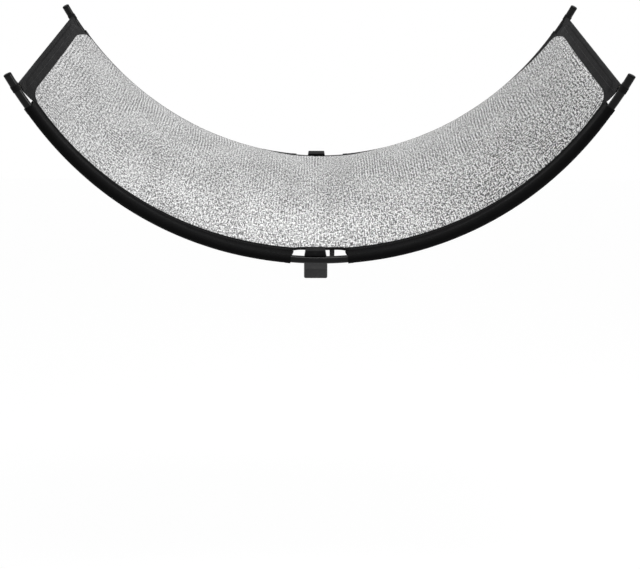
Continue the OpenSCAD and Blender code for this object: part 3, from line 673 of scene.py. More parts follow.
class Patchwork:
    """Gathers closed shells of points, in the panel's frame, into one mesh with a flat map in metres."""

    def __init__(self):
        self.points, self.quads, self.flat = [], [], []
        self.count = 0

    def numbered(self, points):
        """Takes in a grid of points, and gives the number of its first one."""
        first = self.count
        self.points.append(points.reshape(-1, 3))
        self.count += points.shape[0] * points.shape[1]
        return first

    def keep(self, quads, corners, turned=False):
        """Takes in quads and the places of their corners on the flat map."""
        self.quads.append(quads[:, ::-1] if turned else quads)
        self.flat.append(corners[:, ::-1] if turned else corners)

    def rings(self, first, stations, ring, flat, turned=False):
        """Quads of closed rings of points, one ring to a station."""
        i, j = np.meshgrid(np.arange(stations - 1), np.arange(ring), indexing="ij")
        after = (j + 1) % ring
        quads = np.stack([i * ring + j, (i + 1) * ring + j, (i + 1) * ring + after, i * ring + after], -1)
        corners = np.stack([flat[i, j], flat[i + 1, j], flat[i + 1, j + 1], flat[i, j + 1]], -2)
        self.keep(quads.reshape(-1, 4) + first, corners.reshape(-1, 4, 2), turned)

    def close_ends(self, cap, ring, flat):
        """Closes the first and the last station with the same quads, numbered at the first."""
        j = np.arange(len(cap))
        for station, turned in ((0, False), (len(flat) - 1, True)):
            edge = flat[station]
            corners = np.stack([edge[j], edge[j + 1], edge[j + 1], edge[j]], -2)
            self.keep(cap + station * ring, corners, turned)

    def shell(self, upper, lower, flat):
        """A thin sheet between two grids of points, closed all round."""
        stations, rows = upper.shape[:2]
        ring = 2 * rows
        first = self.numbered(np.concatenate([upper, lower[:, ::-1]], 1))
        self.rings(first, stations, ring, np.concatenate([flat, flat[:, ::-1], flat[:, :1]], 1))
        j = np.arange(rows - 1)
        self.close_ends(first + np.stack([j, j + 1, ring - 2 - j, ring - 1 - j], -1), ring, flat)

    def tube(self, outer, inner, flat):
        """A tube of cloth between an outer and an inner grid of rings, with its ends closed."""
        stations, ring = outer.shape[:2]
        first = self.numbered(outer)
        second = self.numbered(inner)
        self.rings(first, stations, ring, flat)
        self.rings(second, stations, ring, flat, True)
        j = np.arange(ring)
        after = (j + 1) % ring
        self.close_ends(np.stack([first + j, first + after, second + after, second + j], -1), ring, flat)

    def piece(self, name, material):
        """One object with every shell gathered so far."""
        sharp_deg = 50
        mesh = bpy.data.meshes.new(name)
        points = to_part_frame(np.concatenate(self.points))
        mesh.from_pydata(points.tolist(), [], np.concatenate(self.quads).tolist())
        layer = mesh.uv_layers.new(name=CLOTH_MAP)
        layer.uv.foreach_set("vector", np.concatenate(self.flat).astype(np.float32).ravel())
        face_outwards(mesh)
        shade_smooth(mesh, sharp_deg)
        mesh.materials.append(material)
        return linked(name, mesh)


def arc_length(angle):
    """Distance along the arch, in metres."""
    return np.asarray(angle) / DEG_PER_M


def flat_map(along, across):
    """Places on the flat map, from distances along and across."""
    return np.stack(np.broadcast_arrays(along, across), -1)


def corner_cut(to_end, along, across):
    """How far a round corner cuts in from the side, at a distance from the end."""
    into = np.clip(1 - to_end / along, 0, 1)
    return across * (1 - np.sqrt(1 - into * into))


def silver_edges(angle, inset=0.0):
    """The silver cloth's front and rear edges, as shares of the width, with its round corners."""
    to_end = (SILVER_END_ANGLE - np.abs(angle)) / DEG_PER_M - inset
    front_corner = corner_cut(to_end, FRONT_CORNER_ALONG - inset, FRONT_CORNER_ACROSS - inset)
    rear_corner = corner_cut(to_end, SILVER_CORNER_ALONG - inset, SILVER_CORNER_ACROSS - inset)
    drawn = drawn_in(angle) * CLOTH_W
    border = FRONT_BORDER - FRONT_TAPER * along_sleeve(angle) ** FRONT_TAPER_POWER
    front = (np.maximum(border, drawn + NOTCH_BORDER) + inset + front_corner) / CLOTH_W
    rear = 1 - (REAR_BORDER + drawn + inset + rear_corner) / CLOTH_W
    return front, rear


def crinkle_relief(along, across):
    """Height of the silver cloth's crinkle, from 0 to 1: ribs across the width, broken up by dents."""
    bend_share, bend_along, bend_across = 0.3, 0.05, 0.09
    rib_share, rib_along, rib_across = 0.3, 0.0056, 0.03
    dent_share, dent_along, dent_across = 0.45, 0.011, 0.016
    bend = bend_share * hills(along / bend_along, across / bend_across, seed=11)
    ribs = rib_share * hills(along / rib_along + bend, across / rib_across, seed=12)
    dents = dent_share * hills(along / dent_along + bend, across / dent_across, seed=13)
    return np.clip(0.5 + ribs + dents, 0, 1)


def make_silver():
    """The reflecting face, crinkled all over and held flat along its sewn edge."""
    columns, corner_columns, rows = 640, 25, 70
    relief_depth, flat_edge, ease = 0.9 * MM, 7 * MM, 0.05 * MM
    corner_part = SILVER_CORNER_ALONG * DEG_PER_M
    bend = np.radians(np.linspace(0, 90, corner_columns, endpoint=False))
    left = -SILVER_END_ANGLE + corner_part * (1 - np.cos(bend))
    straight = SILVER_END_ANGLE - corner_part
    middle = np.linspace(-straight, straight, columns - 2 * corner_columns)
    angle = np.concatenate([left, middle, -left[::-1]])[:, None]
    front, rear = silver_edges(angle)
    share = front + (rear - front) * np.linspace(0, 1, rows)[None, :]
    along, across = np.broadcast_arrays(arc_length(angle), share * CLOTH_W)
    to_side = np.minimum(share - front, rear - share) * CLOTH_W
    to_end = (SILVER_END_ANGLE - np.abs(angle)) / DEG_PER_M
    held = smooth(np.minimum(to_side, to_end) / flat_edge)
    over = CLOTH_T / 2 + SILVER_T + relief_depth * crinkle_relief(along, across) * held
    under = CLOTH_T / 2 + ease
    patch = Patchwork()
    patch.shell(cloth_point(angle, share, over), cloth_point(angle, share, under), flat_map(along, across))
    return patch.piece("silver_face", SILVER)


def end_band_creases(angle, share):
    """Soft pull creases in the black end bands, none under the silver cloth."""
    depth, start_deg, fade_deg = 0.5 * MM, 0.25, 1.2
    beyond = smooth((np.abs(angle) - SILVER_END_ANGLE - start_deg) / fade_deg)
    across, along = share * CLOTH_W, arc_length(angle)
    waves = 0
    for part, pitch_across, pitch_along, seed in ((0.6, 0.045, 0.06, 21), (0.4, 0.02, 0.05, 22)):
        waves = waves + part * hills(across / pitch_across, along / pitch_along, seed)
    return depth * waves * beyond


def make_base():
    """The black cloth behind the silver, which shows as a border and as the panel's back."""
    columns, end_columns, rows = 260, 24, 64
    end = np.linspace(SLEEVE_END_ANGLE, CLOTH_END_ANGLE, end_columns)[1:]
    middle = np.linspace(-SLEEVE_END_ANGLE, SLEEVE_END_ANGLE, columns)
    angle = np.concatenate([-end[::-1], middle, end])[:, None]
    inset = edge_inset(angle)
    closer_at_edges = 0.5 - 0.5 * np.cos(np.linspace(0, math.pi, rows))
    share = inset + (1 - 2 * inset) * closer_at_edges[None, :]
    crease = end_band_creases(angle, share)
    patch = Patchwork()
    patch.shell(
        cloth_point(angle, share, CLOTH_T / 2 + crease),
        cloth_point(angle, share, -CLOTH_T / 2 + crease),
        flat_map(arc_length(angle), share * CLOTH_W),
    )
    return patch.piece("base_panel", BASE_NYLON)


def drop_outline(radius, tip, side_count, arc_count):
    """Points round a drop: from its tip up a straight side, round its end and back down the other."""
    reach = math.hypot(*tip)
    toward = math.atan2(tip[1], tip[0])
    opened = math.acos(radius / reach)
    turn = np.linspace(toward + opened, toward + 2 * math.pi - opened, arc_count)
    arc = radius * np.stack([np.cos(turn), np.sin(turn)], -1)
    step = np.linspace(0, 1, side_count, endpoint=False)[:, None]
    out = np.array(tip) * (1 - step) + arc[0] * step
    home = (arc[-1] * (1 - step) + np.array(tip) * step)[1:]
    return np.concatenate([out, arc, home])


def ring_flat(along, outline):
    """A flat map for rings: distance along by distance round."""
    closed = np.concatenate([outline, outline[:1]])
    steps = np.linalg.norm(np.diff(closed, axis=0), axis=1)
    distance_round = np.concatenate([[0], np.cumsum(steps)])
    return flat_map(along[:, None], distance_round[None, :])


# Puckers, folded ends and slants of the cloth that wraps a rail, in metres
SWELL = 0.35 * MM
PUCKER_PITCH = 0.011
SLACK_PITCH = 0.060
SEAM_SPREAD = 0.022
SEAM_PINCH = 0.004
FOLD_T = 0.7 * MM
FOLD_EDGE = 0.0015
GROOVE_DEPTH = 0.35 * MM
GROOVE_W = 0.0012
SLANT_REACH = 0.018
SLANT_LENGTH = 0.030

# Points of a ring to one pucker and to one slack fold, and shares of what the cloth does there
PUCKER_POINTS = 9.0
SLACK_POINTS = 12.0
PUCKER_ALL_ROUND = 0.25
PUCKER_AT_SEAM = 0.5
SLACK_SHARE = 0.4
MOST_SWELL = 1.4
FLAT_AT_SEAM = 0.8
LINING_SHARE = 0.8
GROOVE_PLACE = 0.6


def wrapped_cloth(patch, line, angle, shape, seed, end_band, leads, bulk=1.0, sag=0.0):
    """Cloth that goes round a rail and meets itself at a tip, with puckers and folded, slanting ends."""
    side_count, arc_count = 9, 30
    tips, outer_r, inner_r = shape
    lowered = np.broadcast_to(sag / 2, angle.shape)
    tips = tips + np.stack([0 * lowered, lowered], -1)
    outer_r, inner_r = outer_r + lowered, inner_r + lowered
    sections = [drop_outline(radius, tip, side_count, arc_count) for radius, tip in zip(outer_r, tips)]
    outline = np.stack(sections)
    lining = outline * (inner_r / outer_r)[:, None, None]
    outward = outline / np.linalg.norm(outline, axis=-1, keepdims=True)
    to_tip = np.linalg.norm(outline - tips[:, None], axis=-1)
    near_seam = smooth(1 - to_tip / SEAM_SPREAD)
    along = arc_length(np.abs(angle))
    index = np.arange(outline.shape[1])
    pucker = hills(along[:, None] / PUCKER_PITCH, index[None, :] / PUCKER_POINTS, seed)
    pucker = pucker * (PUCKER_ALL_ROUND + PUCKER_AT_SEAM * near_seam)
    slack = hills(along[:, None] / SLACK_PITCH, index[None, :] / SLACK_POINTS, seed + 1)
    swell = SWELL * bulk * np.clip(0.5 + 0.5 * pucker + SLACK_SHARE * slack, 0, MOST_SWELL)
    swell = swell * (1 - smooth(1 - to_tip / SEAM_PINCH))
    from_end = np.minimum(along - along.min(), along.max() - along)
    folded = FOLD_T * bulk * (1 - smooth((from_end - end_band) / FOLD_EDGE))
    groove = GROOVE_DEPTH * bulk * np.exp(-((from_end - GROOVE_PLACE * end_band) / GROOVE_W) ** 2)
    raised = swell + (folded - groove)[:, None] * (1 - FLAT_AT_SEAM * near_seam)
    ring = outline + outward * raised[..., None]
    inside = lining + outward * (LINING_SHARE * swell)[..., None]
    soft_end = min(SLANT_LENGTH, np.ptp(along) / 2)
    at_start = 1 - smooth((along - along.min()) / soft_end)
    at_end = 1 - smooth((along.max() - along) / soft_end)
    lead = np.sign(angle[-1]) * (leads[1] * at_end - leads[0] * at_start) * DEG_PER_M
    turned = angle[:, None] + lead[:, None] * smooth(1 - to_tip / SLANT_REACH)
    place = RAIL_POINT[line]
    patch.tube(
        place(turned, ring[..., 0], ring[..., 1] - lowered[:, None]),
        place(turned, inside[..., 0], inside[..., 1] - lowered[:, None]),
        ring_flat(along, outline[0]),
    )


def seam_tail(patch, line, angle):
    """The sleeve's turned edge, sewn flat under the base cloth along the seam."""
    row_count, ripple, ripple_pitch, ripple_rows, bite = 6, 0.2 * MM, 0.014, 2, 0.1 * MM
    turned, rows = np.broadcast_arrays(angle[:, None], np.linspace(0, 1, row_count)[None, :])
    share = rows * TAIL_W / CLOTH_W
    if line == "rear":
        share = 1 - share
    waves = ripple * hills(arc_length(turned) / ripple_pitch, rows * ripple_rows, seed=31) * rows
    patch.shell(
        cloth_point(turned, share, -CLOTH_T / 2 + bite),
        cloth_point(turned, share, -CLOTH_T / 2 - TAIL_T + waves),
        flat_map(arc_length(turned), share * CLOTH_W),
    )


# Each sleeve's rail line, its side, and the seed of its puckers
SLEEVES = {
    "front_left": ("front", -1, 41),
    "front_right": ("front", 1, 43),
    "rear_left": ("rear", -1, 45),
    "rear_right": ("rear", 1, 47),
}


def make_sleeve(name):
    """One sleeve, round its rail from the notch to the open end of the rail."""
    line, side, seed = SLEEVES[name]
    stations, end_band, leads = 200, 11 * MM, (6 * MM, 4 * MM)
    angle = side * np.linspace(NOTCH_ANGLE, SLEEVE_END_ANGLE, stations)
    lift = seam_lift(angle, line)
    tips = np.stack([np.full_like(lift, SEAM_REACH - SEAM_GAP), lift], -1)
    sag = front_sag(angle) if line == "front" else 0.0
    patch = Patchwork()
    wrapped_cloth(patch, line, angle, (tips, SLEEVE_R, SLEEVE_IN_R), seed, end_band, leads, sag=sag)
    seam_tail(patch, line, angle)
    return patch.piece(name + "_sleeve_cloth", SLEEVE_NYLON)


def make_corner_loops():
    """Four narrow loops that hold the hem's corners on the rails."""
    stations, end_band, leads, bulk, seed_step = 26, 2 * MM, (4 * MM, 7 * MM), 0.2, 20
    overlap = 2 * MM
    tip = (CORNER_REACH + overlap, CORNER_LIFT)
    half = LOOP_W / 2 * DEG_PER_M
    patch = Patchwork()
    for line, side, seed in SLEEVES.values():
        angle = side * np.linspace(HEM_ANGLE - half, HEM_ANGLE + half, stations)
        shape = (np.tile(tip, (stations, 1)), LOOP_R, LOOP_IN_R)
        wrapped_cloth(patch, line, angle, shape, seed + seed_step, end_band, leads, bulk)
    return patch.piece("corner_loop_cloth", BASE_NYLON)


def hem_point(side, share, inward, up):
    """A point round the end hem's middle line: inward along the cloth and up along the arch's radius."""
    front = front_point(side * HEM_ANGLE, CORNER_REACH, CORNER_LIFT)
    rear = rear_point(side * HEM_ANGLE, CORNER_REACH, CORNER_LIFT)
    turn = math.radians(HEM_ANGLE)
    share, inward, up = np.broadcast_arrays(share, inward, up)
    middle = front + (rear - front) * share[..., None]
    sideways = -side * (inward * math.cos(turn) + up * math.sin(turn))
    height = up * math.cos(turn) - inward * math.sin(turn)
    return middle + np.stack([sideways, 0 * share, height], -1)


def make_end_hem(name, side):
    """The end of the cloth, folded round its batten and sewn down."""
    stations, side_count, arc_count = 140, 10, 24
    bulge, bulge_pitch, bulge_points, pinch = 0.3 * MM, 0.016, 7.0, 0.006
    outline = drop_outline(HEM_R, HEM_TIP, side_count, arc_count)
    lining = outline * HEM_IN_R / HEM_R
    outward = outline / np.linalg.norm(outline, axis=1, keepdims=True)
    share = np.linspace(0, 1, stations)[:, None]
    along = share[:, 0] * (RAIL_SPACING - 2 * CORNER_REACH)
    index = np.arange(len(outline))
    off_tip = 1 - smooth(1 - np.linalg.norm(outline - np.array(HEM_TIP), axis=1) / pinch)
    waves = hills(along[:, None] / bulge_pitch, index[None, :] / bulge_points, seed=61 + side)
    swell = bulge * (0.5 + 0.5 * waves) * off_tip[None, :]
    ring = outline[None] + outward[None] * swell[..., None]
    inside = lining[None] + LINING_SHARE * outward[None] * swell[..., None]
    patch = Patchwork()
    patch.tube(
        hem_point(side, share, ring[..., 0], ring[..., 1]),
        hem_point(side, share, inside[..., 0], inside[..., 1]),
        ring_flat(along, outline),
    )
    return patch.piece(name + "_cloth", BASE_NYLON)


def make_notch_bindings():
    """Folded tape over the cloth's edge where the notches bare the centre tubes."""
    stations, side_count, bend_count, overlap_deg = 50, 6, 9, 0.25
    ease, ripple_depth, ripple_along, ripple_across = 0.05 * MM, 0.12 * MM, 0.012, 0.01
    end = NOTCH_ANGLE + overlap_deg
    angle = np.linspace(-end, end, stations)[:, None]
    bend = np.radians(np.linspace(90, 270, bend_count))
    side = np.linspace(0, BINDING_REACH, side_count + 1)[1:]
    patch = Patchwork()
    for line in ("front", "rear"):
        paths = []
        for half in (CLOTH_T / 2 + ease + BINDING_T, CLOTH_T / 2 + ease):
            across = np.concatenate([side[::-1], half * np.cos(bend), side])
            level = np.full(side_count, half)
            lift = np.concatenate([level, half * np.sin(bend), -level])
            share = across[None, :] / CLOTH_W + drawn_in(angle)
            share = 1 - share if line == "rear" else share
            ripple = hills(arc_length(angle) / ripple_along, across[None, :] / ripple_across, seed=71)
            paths.append(cloth_point(angle, share, lift[None, :] + ripple_depth * ripple))
        steps = np.concatenate([[0], np.cumsum(np.hypot(np.diff(across), np.diff(lift)))])
        patch.shell(paths[0], paths[1], flat_map(arc_length(angle), steps[None, :]))
    return patch.piece("notch_bindings", SLEEVE_NYLON)


def own_axis(wiring):
    """The direction that each point of a line mesh carries."""
    node = wiring.add("GeometryNodeInputNamedAttribute", {"Name": "up"}, data_type="FLOAT_VECTOR")
    return node.outputs["Attribute"]


def end_tree(wiring, end, copies, material, rounded):
    """Ends a tree of geometry nodes: copies on points are made real and get their material."""
    made = wiring.add("GeometryNodeInstanceOnPoints", copies).outputs["Instances"]
    made = wiring.add("GeometryNodeRealizeInstances", {"Geometry": made}).outputs["Geometry"]
    if rounded:
        made = wiring.add("GeometryNodeSetShadeSmooth", {"Geometry": made}).outputs["Geometry"]
    made = wiring.add("GeometryNodeSetMaterial", {"Geometry": made, "Material": material})
    wiring.give(end["Geometry"], made.outputs["Geometry"])
    return wiring.tree


def stitch_tree():
    """Rows of stitches along the lines of a mesh, each lying along its line and flat to the cloth."""
    wiring, start, end = new_group(
        "stitch_rows", "GeometryNodeTree",
        {
            "Geometry": ("Geometry", None),
            "Spacing": ("Float", 4 * MM),
            "Stitch length": ("Float", 3 * MM),
            "Thread width": ("Float", 0.8 * MM),
            "Thread": ("Material", None),
        },
        {"Geometry": "Geometry"},
    )
    line = wiring.add("GeometryNodeMeshToCurve", {"Mesh": start["Geometry"]}).outputs["Curve"]
    spacing = {"Curve": line, "Length": start["Spacing"]}
    even = wiring.add("GeometryNodeResampleCurve", spacing, mode="LENGTH")
    bead = wiring.add("GeometryNodeMeshUVSphere", {"Segments": 6, "Rings": 4, "Radius": 0.5})
    tangent = wiring.add("GeometryNodeInputTangent").outputs["Tangent"]
    turn = wiring.add("FunctionNodeAlignRotationToVector", {"Vector": tangent}, axis="X")
    upright = {"Rotation": turn.outputs["Rotation"], "Vector": own_axis(wiring)}
    turn = wiring.add("FunctionNodeAlignRotationToVector", upright, axis="Z", pivot_axis="X")
    width = start["Thread width"]
    size = wiring.add("ShaderNodeCombineXYZ", {"X": start["Stitch length"], "Y": width, "Z": width})
    copies = {
        "Points": even.outputs["Curve"],
        "Instance": bead.outputs["Mesh"],
        "Rotation": turn.outputs["Rotation"],
        "Scale": size.outputs["Vector"],
    }
    return end_tree(wiring, end, copies, start["Thread"], rounded=True)


def screw_tree():
    """A screw on each point of a mesh, along the point's own axis and turned by its own amount."""
    wiring, start, end = new_group(
        "placed_screws", "GeometryNodeTree",
        {
            "Geometry": ("Geometry", None),
            "Screw": ("Object", None),
            "Turn seed": ("Int", None),
            "Metal": ("Material", None),
        },
        {"Geometry": "Geometry"},
    )
    shape = wiring.add("GeometryNodeObjectInfo", {"Object": start["Screw"]}).outputs["Geometry"]
    stand = wiring.add("FunctionNodeAlignRotationToVector", {"Vector": own_axis(wiring)}, axis="Z")
    chance = wiring.add(
        "FunctionNodeRandomValue", {"Max": math.pi / 3, "Seed": start["Turn seed"]}, data_type="FLOAT")
    spin = wiring.add("ShaderNodeCombineXYZ", {"Z": chance.outputs["Value"]}).outputs["Vector"]
    driving = {"Rotation": stand.outputs["Rotation"], "Rotate By": spin}
    driven = wiring.add("FunctionNodeRotateRotation", driving, rotation_space="LOCAL").outputs["Rotation"]
    copies = {"Points": start["Geometry"], "Instance": shape, "Rotation": driven}
    return end_tree(wiring, end, copies, start["Metal"], rounded=False)


STITCHES = stitch_tree()
SCREWS = screw_tree()


def input_names(tree):
    """Each named input of a tree, with the name that a modifier knows it by."""
    sockets = [item for item in tree.interface.items_tree if item.item_type == "SOCKET"]
    return {socket.name: socket.identifier for socket in sockets if socket.in_out == "INPUT"}


def grown(name, seed_mesh, tree, **values):
    """A plain mesh piece grown from a seed mesh by a tree of geometry nodes."""
    piece = linked(name, seed_mesh)
    growth = piece.modifiers.new("growth", "NODES")
    growth.node_group = tree
    known = input_names(tree)
    for title, value in values.items():
        growth[known[title.replace("_", " ")]] = value
    drawn = piece.evaluated_get(bpy.context.evaluated_depsgraph_get())
    mesh = bpy.data.meshes.new_from_object(drawn)
    piece.modifiers.remove(growth)
    piece.data = mesh
    mesh.name = name
    return piece


def line_mesh(name, lines):
    """A mesh of open lines of points, each with the direction that is up from the cloth there."""
    points, ups, edges = [], [], []
    for place, up in lines:
        first = sum(len(earlier) for earlier in points)
        points.append(place)
        ups.append(up)
        edges.extend((first + k, first + k + 1) for k in range(len(place) - 1))
    mesh = bpy.data.meshes.new(name)
    mesh.from_pydata(np.concatenate(points).tolist(), edges, [])
    layer = mesh.attributes.new("up", "FLOAT_VECTOR", "POINT")
    layer.data.foreach_set("vector", np.concatenate(ups).astype(np.float32).ravel())
    return mesh


def sewn_line(angle, share, lift):
    """A line of stitches on the cloth, on top where lift is positive and underneath where negative."""
    angle, share = np.broadcast_arrays(np.asarray(angle, float), np.asarray(share, float))
    side = 1 if lift > 0 else -1
    return to_part_frame(cloth_point(angle, share, lift)), side * cloth_normal(angle, share)


def make_seam_stitches():
    """Stitches along the sleeves, the end hems and the notches, above and below."""
    tail_rows, top_row, binding_row, hem_row = (0.0025, 0.0095), 0.0035, 0.003, 0.0165
    notch_clear_deg, end_clear_deg, hem_clear_share = 0.15, 0.1, 0.004
    top_lift, under_lift, hem_lift = 0.15 * MM, 0.1 * MM, 0.2 * MM
    sleeve_points, notch_points, hem_points = 260, 60, 200
    top = CLOTH_T / 2 + top_lift
    under = -CLOTH_T / 2 - TAIL_T - under_lift
    lines = []
    for line, side, _ in SLEEVES.values():
        start, stop = NOTCH_ANGLE + notch_clear_deg, SLEEVE_END_ANGLE - end_clear_deg
        angle = side * np.linspace(start, stop, sleeve_points)
        rows = [(row, under) for row in tail_rows]
        if line == "front":
            rows.append((top_row, top))
        for inset, lift in rows:
            share = inset / CLOTH_W if line == "front" else 1 - inset / CLOTH_W
            lines.append(sewn_line(angle, share, lift))
    over_binding = CLOTH_T / 2 + BINDING_T + top_lift
    notch = np.linspace(-NOTCH_ANGLE, NOTCH_ANGLE, notch_points)
    bound = binding_row / CLOTH_W + drawn_in(notch)
    for share in (bound, 1 - bound):
        lines.append(sewn_line(notch, share, over_binding))
        lines.append(sewn_line(notch, share, -over_binding))
    over_hem = top + hem_lift
    for side in (-1, 1):
        hem_line = side * (HEM_ANGLE - hem_row * DEG_PER_M)
        inset = hem_clear_share + float(edge_inset(hem_line))
        across = np.linspace(inset, 1 - inset, hem_points)
        lines.append(sewn_line(hem_line, across, over_hem))
        lines.append(sewn_line(hem_line, across, -over_hem))
    return grown(
        "seam_stitches", line_mesh("seam_stitches", lines), STITCHES,
        Spacing=4.2 * MM, Stitch_length=3.2 * MM, Thread_width=0.75 * MM, Thread=BLACK_THREAD)


def make_silver_stitches():
    """Stitches that hold the silver cloth down, just inside its edge."""
    inset, thread_lift = 4 * MM, 0.2 * MM
    corner_points, side_points, end_points = 24, 260, 120
    straight = SILVER_END_ANGLE - SILVER_CORNER_ALONG * DEG_PER_M
    end = SILVER_END_ANGLE - inset * DEG_PER_M
    bend = np.radians(np.linspace(0, 90, corner_points))
    corner = end - (end - straight) * (1 - np.cos(bend))
    half = np.concatenate([corner, np.linspace(straight, 0, side_points)[1:]])
    angle = np.concatenate([half, -half[::-1][1:]])
    front, rear = silver_edges(angle, inset)
    lift = CLOTH_T / 2 + SILVER_T + thread_lift
    lines = [sewn_line(angle, front, lift), sewn_line(angle, rear, lift)]
    for side in (-1, 1):
        low, high = silver_edges(np.array([end]), inset)
        lines.append(sewn_line(side * end, np.linspace(low[0], high[0], end_points), lift))
    return grown(
        "silver_stitches", line_mesh("silver_stitches", lines), STITCHES,
        Spacing=4.0 * MM, Stitch_length=3.0 * MM, Thread_width=0.7 * MM, Thread=GREY_THREAD)


def paint(material, *names):
    """Gives CAD nodes a better material."""
    for name in names:
        mesh = NODES[name].data
        mesh.materials.clear()
        mesh.materials.append(material)


def paint_hardware():
    """Finishes for the CAD nodes that stay as they are."""
    paint(TUBE_PAINT, "front_centre_tube", "rear_centre_tube", *[rail + "_rail" for rail in SLEEVES])
    paint(ALUMINIUM, *[rail + "_ferrule" for rail in SLEEVES])
    paint(STEEL, "knob_washer", "stand_lock_screw", *[rail + "_rivet" for rail in SLEEVES])
    paint(BRASS, "tilt_knob_insert", "stand_lock_shoe", "stand_lock_bush")
    paint(WASHER_FIBRE, "friction_washers")
    paint(BATTEN_FIBRE, "left_end_batten", "right_end_batten")


# Hard pieces' meshes: the gap to weld, a round hole's facet angles in radians, other angles in degrees
WELD = 0.002 * MM
FACET_LOW, FACET_HIGH = 0.01, 0.3
FLAT_DEG = 0.6
EDGE_DEG = 30
SHARP_DEG = 35


def is_hole_rim(edge):
    """True where an edge runs round the mouth of a hole."""
    others = [other for corner in edge.verts for other in corner.link_edges if other is not edge]
    walls = [other for other in others if other.is_manifold and not other.is_convex]
    return any(FACET_LOW < wall.calc_face_angle() < FACET_HIGH for wall in walls)


def is_outer(edge):
    """True for an edge that a casting or a moulding would have rounded over."""
    if not (edge.is_manifold and edge.is_convex):
        return False
    return edge.calc_face_angle() > math.radians(EDGE_DEG) and not is_hole_rim(edge)


def eased(name, width, material):
    """A copy of a CAD node with its outer edges rounded over, as a casting's or a moulding's are."""
    work = bmesh.new()
    work.from_mesh(NODES[name].data)
    bmesh.ops.remove_doubles(work, verts=work.verts, dist=WELD)
    bmesh.ops.dissolve_limit(work, angle_limit=math.radians(FLAT_DEG), verts=work.verts, edges=work.edges)
    outer = [edge for edge in work.edges if is_outer(edge)]
    bmesh.ops.bevel(
        work, geom=outer, offset=width, offset_type="OFFSET", segments=3, profile=0.5, affect="EDGES")
    bmesh.ops.triangulate(work, faces=[face for face in work.faces if len(face.verts) > 4])
    mesh = bpy.data.meshes.new(name + "_eased")
    work.to_mesh(mesh)
    work.free()
    shade_smooth(mesh, SHARP_DEG)
    mesh.materials.append(material)
    piece = linked(name + "_eased", mesh)
    level = piece.modifiers.new("level_shading", "WEIGHTED_NORMAL")
    level.keep_sharp = True
    return piece


# Screws: radius and height of the heads, radii and lengths of the shanks, and widths of the keys
SCREW_R = 0.0025
SCREW_HEAD = (0.0045, 0.003)
SCREW_KEY = 0.003
BAR_SCREW_R = 0.002
BAR_SCREW_HEAD = (0.0036, 0.0022)
BAR_SCREW_KEY = 0.0024
CLIP_SCREW_LENGTH = 0.0165
BAR_SCREW_LENGTH = 0.0105
TONGUE_SCREW_LENGTH = 0.009

# Where the screws sit on the bracket, the same as in the part's source
CLIP_SCREW_SIDE = 0.018
TONGUE_SCREW_SIDE = 0.010
TONGUE_SCREW_REACH = 0.028
BAR_BOTTOM = -0.026
CLIP_DEPTH = 0.022
CLIP_PLUG = 0.025
FLANGE_T = 0.005

# A button head's round top: radius and height, as shares of the head's own
BUTTON_TOP = ((1.0, 0.0), (1.0, 0.22), (0.95, 0.48), (0.84, 0.74), (0.68, 0.93), (0.60, 1.0))


def screw_mesh(name, shank, head, flats):
    """A button head screw along +Z with a hexagon socket; shank and head are radius and length."""
    around, tip_share, tip_length = 24, 0.8, 0.6 * MM
    mouth, mouth_height, socket_floor, socket_middle = 1.06, 0.92, 0.35, 0.25
    turn = np.linspace(0, 2 * math.pi, around, endpoint=False)
    circle = np.stack([np.cos(turn), np.sin(turn)], -1)
    corner = np.mod(turn, math.pi / 3) - math.pi / 6
    hexagon = circle * (flats / 2 / np.cos(corner))[:, None]
    rings = [
        (circle * shank[0] * tip_share, -shank[1]),
        (circle * shank[0], -shank[1] + tip_length),
        (circle * shank[0], 0.0),
        *[(circle * head[0] * radius, height * head[1]) for radius, height in BUTTON_TOP],
        (hexagon * mouth, head[1]),
        (hexagon, mouth_height * head[1]),
        (hexagon, socket_floor * head[1]),
    ]
    points = [(x, y, z) for outline, z in rings for x, y in outline]
    faces = []
    last = (len(rings) - 1) * around
    for first in range(0, last, around):
        for k in range(around):
            after = (k + 1) % around
            faces.append((first + k, first + after, first + around + after, first + around + k))
    for first, lift in ((0, -shank[1]), (last, socket_middle * head[1])):
        middle = len(points)
        points.append((0, 0, lift))
        faces += [(first + k, first + (k + 1) % around, middle) for k in range(around)]
    mesh = bpy.data.meshes.new(name)
    mesh.from_pydata(points, [], faces)
    face_outwards(mesh)
    shade_smooth(mesh, SHARP_DEG)
    return mesh


def under_panel(points, at_rear=False):
    """Bracket points, in line with the stand, in the part's frame; front ones go to the rear if asked."""
    points = np.array(points, float)
    if at_rear:
        points[:, 1] = RAIL_SPACING - points[:, 1]
    return to_part_frame(points - np.array([HEAD_OFFSET, 0, 0]))


def placed_screws(name, shank, head, flats, seats, axis, seed):
    """Screws whose heads sit on the seats and point along the axis."""
    pattern = linked("screw_pattern", screw_mesh("screw_pattern", shank, head, flats))
    mesh = line_mesh(name, [(seats[k:k + 1], axis[None]) for k in range(len(seats))])
    piece = grown(name, mesh, SCREWS, Screw=pattern, Turn_seed=seed, Metal=STEEL)
    bpy.data.objects.remove(pattern)
    return piece


